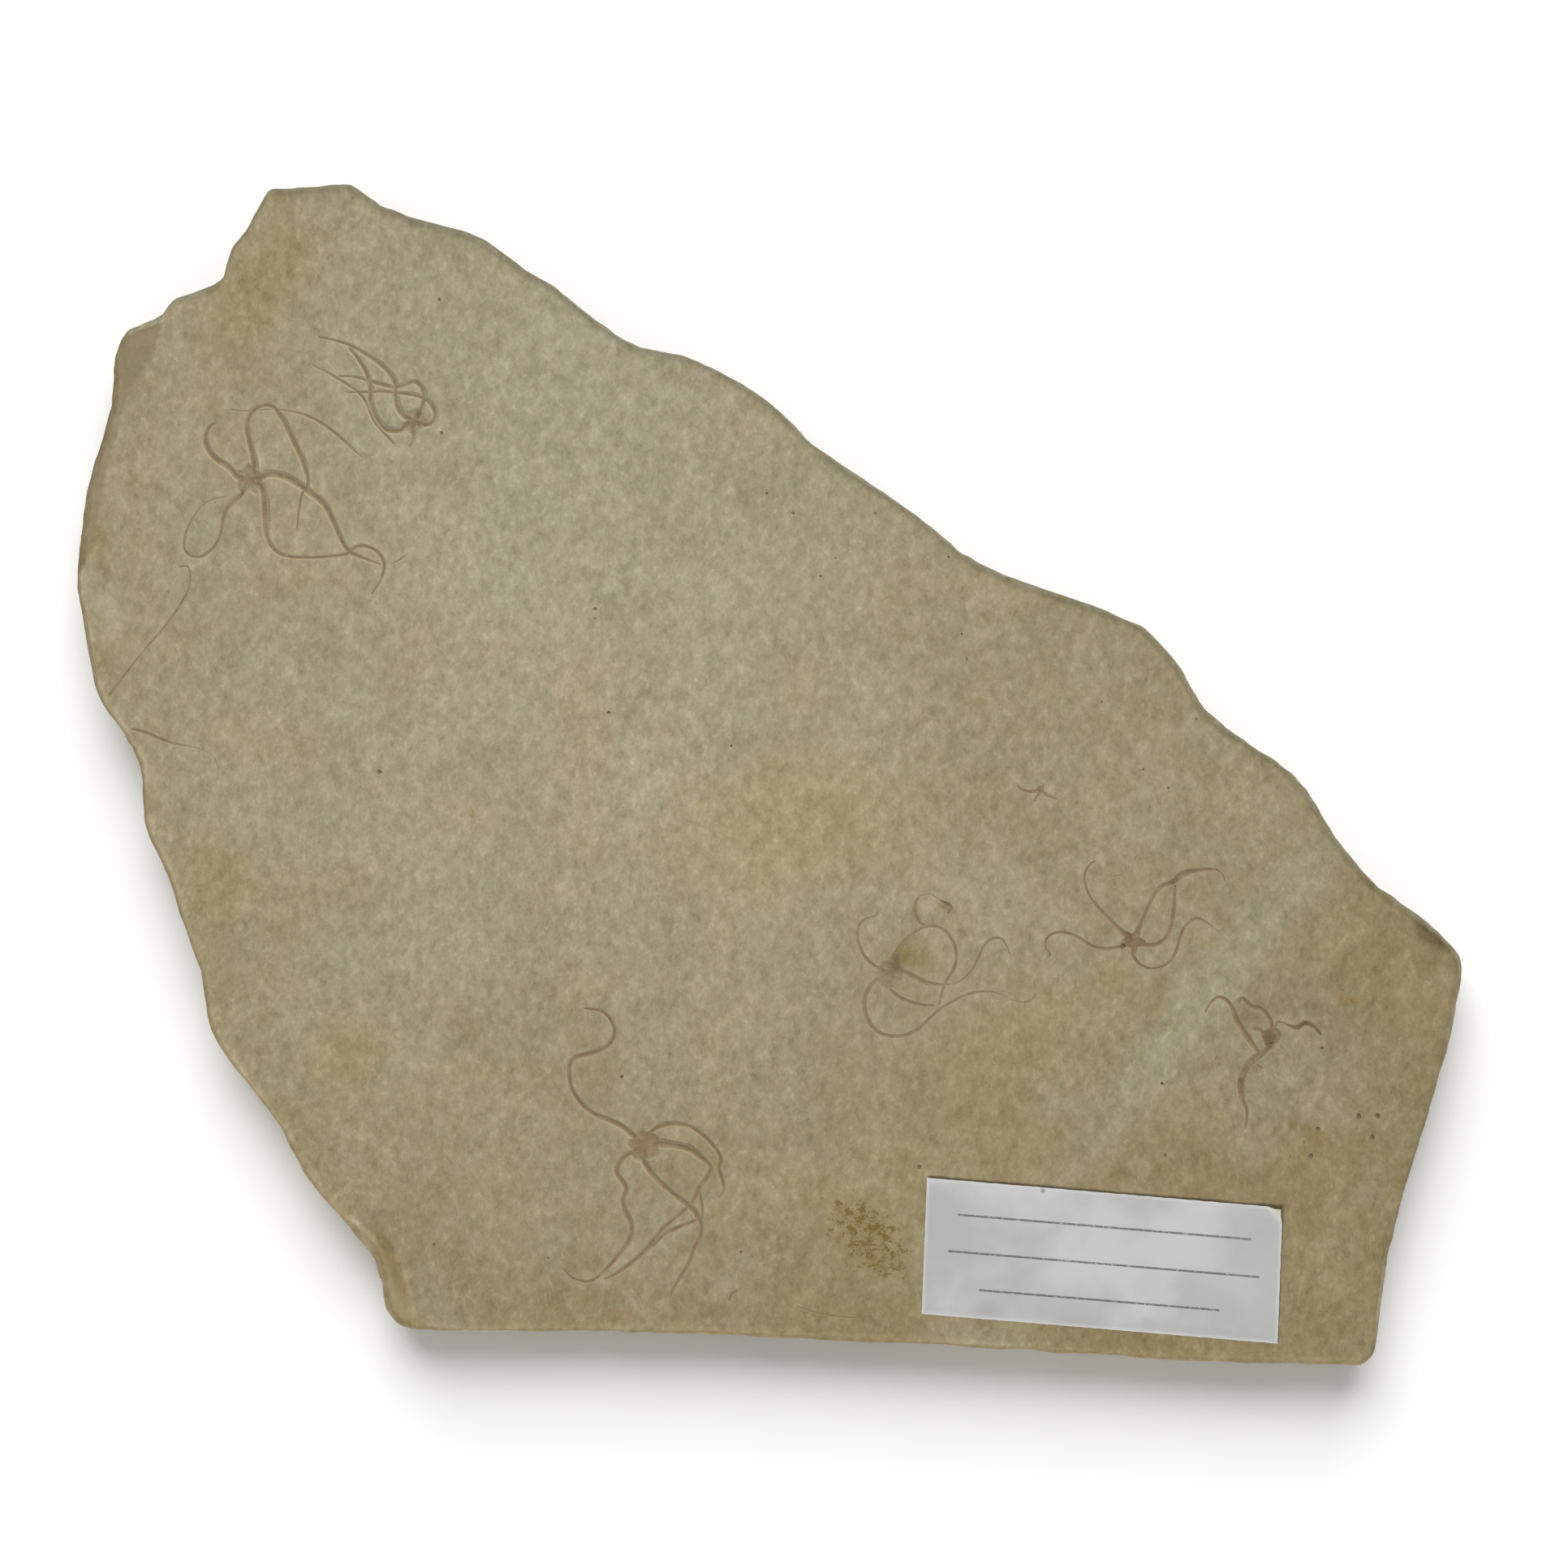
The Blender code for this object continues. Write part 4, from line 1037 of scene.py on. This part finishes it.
# ================================================================== the label
def make_label(material):
    """A small bare paper label: flat, with one bent corner and worn edges."""
    long, wide = LABEL_SIZE
    columns, rows = round(long / LABEL_STEP), round(wide / LABEL_STEP)
    turn = math.radians(LABEL_TURN)
    shell = Shell("rim", "fold", "along", "up")
    sheets = []
    for side in (0.0, LABEL_THICKNESS):
        sheet = []
        for row in range(rows + 1):
            for column in range(columns + 1):
                u, v = long * (column / columns - 0.5), wide * (row / rows - 0.5)
                away = min(long / 2 - abs(u), wide / 2 - abs(v))
                corner = u + v - (long + wide) / 2  # 0 at the upper right corner
                fold = smooth((corner + FOLD_START) / FOLD_SPAN)
                ragged = RAGGED * (away == 0)
                u -= ragged * noise.noise(Vector((v / RAGGED_LENGTH, 1.0, 0.0))) + FOLD_SHIFT * fold
                v -= ragged * noise.noise(Vector((u / RAGGED_LENGTH, 2.0, 0.0))) + FOLD_SHIFT * fold
                across = u - LABEL_SKEW * v
                x = LABEL_CENTRE[0] + across * math.cos(turn) - v * math.sin(turn)
                y = LABEL_CENTRE[1] + across * math.sin(turn) + v * math.cos(turn)
                lift = LABEL_BUCKLE * noise.noise(Vector((u / 14, v / 9, 5.0))) + FOLD_SHIFT * fold
                loose = 0.5 + noise.noise(Vector((u / 7, v / 7, 8.0)))
                lift += LABEL_CURL * (1 - smooth(away / LABEL_LOOSE)) * loose
                z = TOP + waves(FACE_WAVES[:2], x, y) + LABEL_SEAT + max(lift, 0.0) + side
                sheet += shell.add([(x, y, z)], rim=1 - smooth(away / 1.2), fold=fold, along=u, up=v)
        sheets.append(sheet)
    bottom, top = sheets
    for row in range(rows):
        for column in range(columns):
            a = row * (columns + 1) + column
            corners = (a, a + 1, a + columns + 2, a + columns + 1)
            shell.faces += [tuple(top[i] for i in corners), tuple(bottom[i] for i in reversed(corners))]
    edge = ([*range(columns)] + [columns + row * (columns + 1) for row in range(rows)]
            + [rows * (columns + 1) + column for column in range(columns, 0, -1)]
            + [row * (columns + 1) for row in range(rows, 0, -1)])
    shell.join([bottom[i] for i in edge], [top[i] for i in edge])
    return stand_for("label", shell.build("paper_label", material, crease=40))


# ================================================================== materials
class Surface:
    """A material under construction. Its short methods add one node each and return that node's result."""

    def __init__(self, name, roughness, specular):
        self.material = bpy.data.materials.new(name)
        self.material.use_nodes = True
        self.tree = self.material.node_tree
        self.shader = self.tree.nodes["Principled BSDF"]
        self.shader.inputs["Roughness"].default_value = roughness
        self.shader.inputs["Specular IOR Level"].default_value = specular
        place = self.tree.nodes.new("ShaderNodeTexCoord").outputs["Object"]
        self.place = self.vector("SCALE", place, scale=1 / MM)

    def node(self, kind, inputs, output=0, **settings):
        made = self.tree.nodes.new("ShaderNode" + kind)
        for key, value in settings.items():
            setattr(made, key, value)
        for key, value in inputs.items():
            if isinstance(value, bpy.types.NodeSocket):
                self.tree.links.new(value, made.inputs[key])
            elif value is not None:
                made.inputs[key].default_value = value
        return made.outputs[output]

    def math(self, operation, a, b=None):
        return self.node("Math", {0: a, 1: b}, operation=operation)

    def vector(self, operation, a, b=None, scale=None, output=0):
        return self.node("VectorMath", {0: a, 1: b, "Scale": scale}, output, operation=operation)

    def value(self, name):
        return self.node("Attribute", {}, "Fac", attribute_name=name)

    def noise(self, length, detail=2.0, place=None, rough=0.5, shift=0.0):
        """Soft noise whose waves are about that long, in millimetres."""
        place = place or self.place
        if shift:
            place = self.vector("ADD", place, (shift, -shift, shift))
        return self.node("TexNoise", {"Vector": place, "Scale": 1 / length, "Detail": detail,
                                      "Roughness": rough})

    def swing(self, share, *facts):
        """Noise that spans about the share and goes both ways from 0. The facts are those of noise."""
        return self.math("MULTIPLY", self.math("SUBTRACT", self.noise(*facts), 0.5), share)

    def ground(self):
        """The stone's colour at the place, as computed for the mesh."""
        return self.node("Attribute", {}, "Color", attribute_name="ground")

    def step(self, value, low, high, start=0.0, end=1.0):
        """A soft step from start to end as the value goes from low to high."""
        inputs = {"Value": value, "From Min": low, "From Max": high, "To Min": start, "To Max": end}
        return self.node("MapRange", inputs, interpolation_type="SMOOTHSTEP")

    def mix(self, share, a, b):
        a, b = (linear(c) if isinstance(c, tuple) and len(c) == 3 else c for c in (a, b))
        return self.node("Mix", {0: share, 6: a, 7: b}, 2, data_type="RGBA")

    def bump(self, height, distance, strength):
        return self.node("Bump", {"Height": height, "Distance": distance * MM, "Strength": strength})

    def finish(self, colour, normal):
        self.tree.links.new(colour, self.shader.inputs["Base Color"])
        self.tree.links.new(normal, self.shader.inputs["Normal"])
        return self.material


def make_limestone():
    """Soft flecks, ochre stain and fine grain over the colours computed at the points of the mesh."""
    made = Surface("limestone", roughness=0.88, specular=0.25)
    lean = made.node("Mapping", {"Vector": made.place, "Rotation": (0.0, 0.0, math.radians(-40)),
                                 "Scale": (1.15, 0.85, 1.0)})
    calm = made.math("SUBTRACT", 1.0, made.value("calm"))
    fleck = made.noise(1.25, 1.0, lean, shift=55.0)
    tints = made.node("TexNoise", {"Vector": lean, "Scale": 1 / 1.7, "Detail": 2.0}, "Color")
    tints = made.vector("MULTIPLY", made.vector("SUBTRACT", tints, (0.5, 0.5, 0.5)), TINTS)
    colour = made.vector("MULTIPLY", made.ground(), made.vector("ADD", tints, (1.0, 1.0, 1.0)))
    flecks = made.math("ADD", made.step(fleck, *PALE_FLECKS), made.step(fleck, *DARK_FLECKS))
    swing = made.math("ADD", made.swing(0.95, 2.8, 3.0, lean, 0.78), flecks)
    swing = made.math("MULTIPLY", swing, calm)
    light = made.vector("ADD", made.vector("SCALE", GREYING, scale=swing), (1.0, 1.0, 1.0))
    colour = made.vector("MULTIPLY", colour, light)
    ochre = made.value("ochre")
    colour = made.mix(made.math("MULTIPLY", ochre, 0.35), colour, OCHRE)
    thick = made.math("ADD", made.noise(1.5, 3.0, rough=0.8), made.math("MULTIPLY", ochre, 0.2))
    dots = made.math("MULTIPLY", made.step(thick, 0.65, 0.77), made.step(ochre, 0.04, 0.3, 0.0, 0.9))
    colour = made.mix(dots, colour, OCHRE_DOT)
    grain = made.noise(0.45, 3.0, rough=0.6)
    return made.finish(colour, made.bump(grain, 0.08, 0.6))


def make_fossil_material(tone):
    """Brown calcite that fades into the stone at its foot, and is a little darker between the segments."""
    back, groove = FOSSIL_TONES[tone]
    made = Surface("fossil_" + tone, roughness=0.75, specular=0.3)
    colour = made.mix(made.step(made.value("crease"), 0.35, 1.0, 0.0, 0.55), back, groove)
    colour = made.mix(made.value("dark"), colour, FOSSIL_DARK)
    patchy = made.swing(0.45, 3.5, 2.0)
    fine = made.swing(0.4, 0.6, 2.0)
    colour = made.vector("SCALE", colour, scale=made.math("ADD", made.math("ADD", patchy, fine), 1.0))
    cover = made.step(made.math("ADD", made.value("crest"), patchy), 0.1, 0.85)
    faded = made.step(made.noise(1.8, 2.0, shift=21.0), 0.36, 0.56, 0.66, 1.0)
    cover = made.math("MULTIPLY", cover, faded)
    foot = made.vector("SCALE", made.ground(), scale=FOOT_LIGHT)
    colour = made.mix(cover, foot, colour)
    return made.finish(colour, made.bump(made.noise(0.25, 2.0), 0.04, 0.6))


def make_grain_material():
    made = Surface("iron_oxide", roughness=0.8, specular=0.3)
    colour = made.mix(made.noise(0.5, 2.0), GRAIN_DARK, GRAIN_PALE)
    return made.finish(colour, made.bump(made.noise(0.2, 2.0), 0.03, 0.5))


def make_paper():
    """White paper, grey in patches and greyer towards its right end, with pale rims, ruled lines, smudges
    and one dark speck.
    """
    made = Surface("label_paper", roughness=0.62, specular=0.4)
    u, v = made.value("along"), made.value("up")
    colour = made.mix(made.step(made.noise(16.0, 3.0), 0.35, 0.65), PAPER, PAPER_GREY)
    # greyer towards the right end
    colour = made.mix(made.step(u, 14.0, 34.0, 0.0, 0.7), colour, PAPER_GREY)
    worn = made.noise(0.5, 3.0)
    for start, end, height in RULED_LINES:
        off = made.math("ABSOLUTE", made.math("SUBTRACT", v, height))
        long = made.math("ABSOLUTE", made.math("SUBTRACT", u, (start + end) / 2))
        half = (end - start) / 2
        ink = made.math("MULTIPLY", made.step(off, 0.26, 0.14), made.step(long, half, half - 0.3))
        colour = made.mix(made.math("MULTIPLY", ink, made.step(worn, 0.3, 0.5, 0.35, 0.8)), colour, INK)
    flat = made.node("CombineXYZ", {0: u, 1: v})
    for centre, radius, paint, strength in SMUDGES:
        away = made.vector("DISTANCE", flat, (*centre, 0.0), output="Value")
        colour = made.mix(made.step(away, radius, radius * 0.3, 0.0, strength), colour, paint)
    colour = made.mix(made.step(made.value("rim"), 0.3, 1.0, 0.0, 0.6), colour, PAPER_RIM)
    colour = made.mix(made.math("MULTIPLY", made.value("fold"), 0.6), colour, PAPER_AGED)
    return made.finish(colour, made.bump(made.noise(0.35, 4.0), 0.03, 0.6))


# ================================================================== floor, light and camera
def make_floor():
    mesh = bpy.data.meshes.new("floor")
    mesh.from_pydata([(x * FLOOR_REACH, y * FLOOR_REACH, FLOOR_LEVEL) for x, y in
                      ((-1, -1), (1, -1), (1, 1), (-1, 1))], [], [(0, 1, 2, 3)])
    floor = bpy.data.objects.new("floor", mesh)
    bpy.context.scene.collection.objects.link(floor)
    material = bpy.data.materials.new("floor_white")
    material.use_nodes = True
    shader = material.node_tree.nodes["Principled BSDF"]
    shader.inputs["Base Color"].default_value = (0.9, 0.9, 0.9, 1.0)
    shader.inputs["Roughness"].default_value = 0.9
    shader.inputs["Specular IOR Level"].default_value = 0.1
    mesh.materials.append(material)
    return floor


def make_sun(name, facts, lit):
    """A soft sun that lights only the given objects. Its share is how bright it makes a level white face."""
    toward = Vector(facts["from"]).normalized()
    light = bpy.data.lights.new(name, "SUN")
    light.energy = math.pi * facts["share"] / toward.z
    light.angle = math.radians(facts["spread"])
    sun = bpy.data.objects.new(name, light)
    sun.rotation_mode = "QUATERNION"
    sun.rotation_quaternion = toward.to_track_quat("Z", "Y")
    bpy.context.scene.collection.objects.link(sun)
    group = bpy.data.collections.new(name + "_lit")
    for item in lit:
        group.objects.link(item)
    sun.light_linking.receiver_collection = group


def make_sky():
    world = bpy.data.worlds.new("studio")
    world.use_nodes = True
    background = world.node_tree.nodes["Background"]
    background.inputs["Color"].default_value = (1.0, 1.0, 1.0, 1.0)
    background.inputs["Strength"].default_value = SKY
    bpy.context.scene.world = world


def make_camera():
    data = bpy.data.cameras.new("camera")
    data.lens, data.sensor_width = LENS, SENSOR
    camera = bpy.data.objects.new("camera", data)
    height = TOP + FRAME_WIDTH * LENS / SENSOR
    camera.location = Vector((*CAMERA_CENTRE, height)) * MM
    bpy.context.scene.collection.objects.link(camera)
    bpy.context.scene.camera = camera


def main():
    arms = list(LOOSE_ARMS.values())
    for star in (*STARS.values(), JUVENILE):
        arms += [*star["arms"], *star["branches"]]
    fossil_points = [tuple(point) for widths, route in arms for point in spline(route, FINE_STEP)]
    tones = {tone: make_fossil_material(tone) for tone in FOSSIL_TONES}
    made = [make_slab(make_limestone(), fossil_points)]
    for name, star in {**STARS, "brittle_star_juvenile": JUVENILE}.items():
        made.append(make_star(name, star, tones[star["tone"]]))
    for name, (widths, route) in LOOSE_ARMS.items():
        made.append(make_loose_arm(name, widths, route, tones["brown"]))
    made.append(make_traces(tones["warm"]))
    made.append(make_grains(make_grain_material()))
    made.append(make_label(make_paper()))
    floor = make_floor()
    make_sky()
    make_sun("key", KEY_LIGHT, made)
    make_sun("floor_light", FLOOR_LIGHT, [floor])
    make_camera()
    bpy.context.scene.view_settings.view_transform = "Standard"


main()
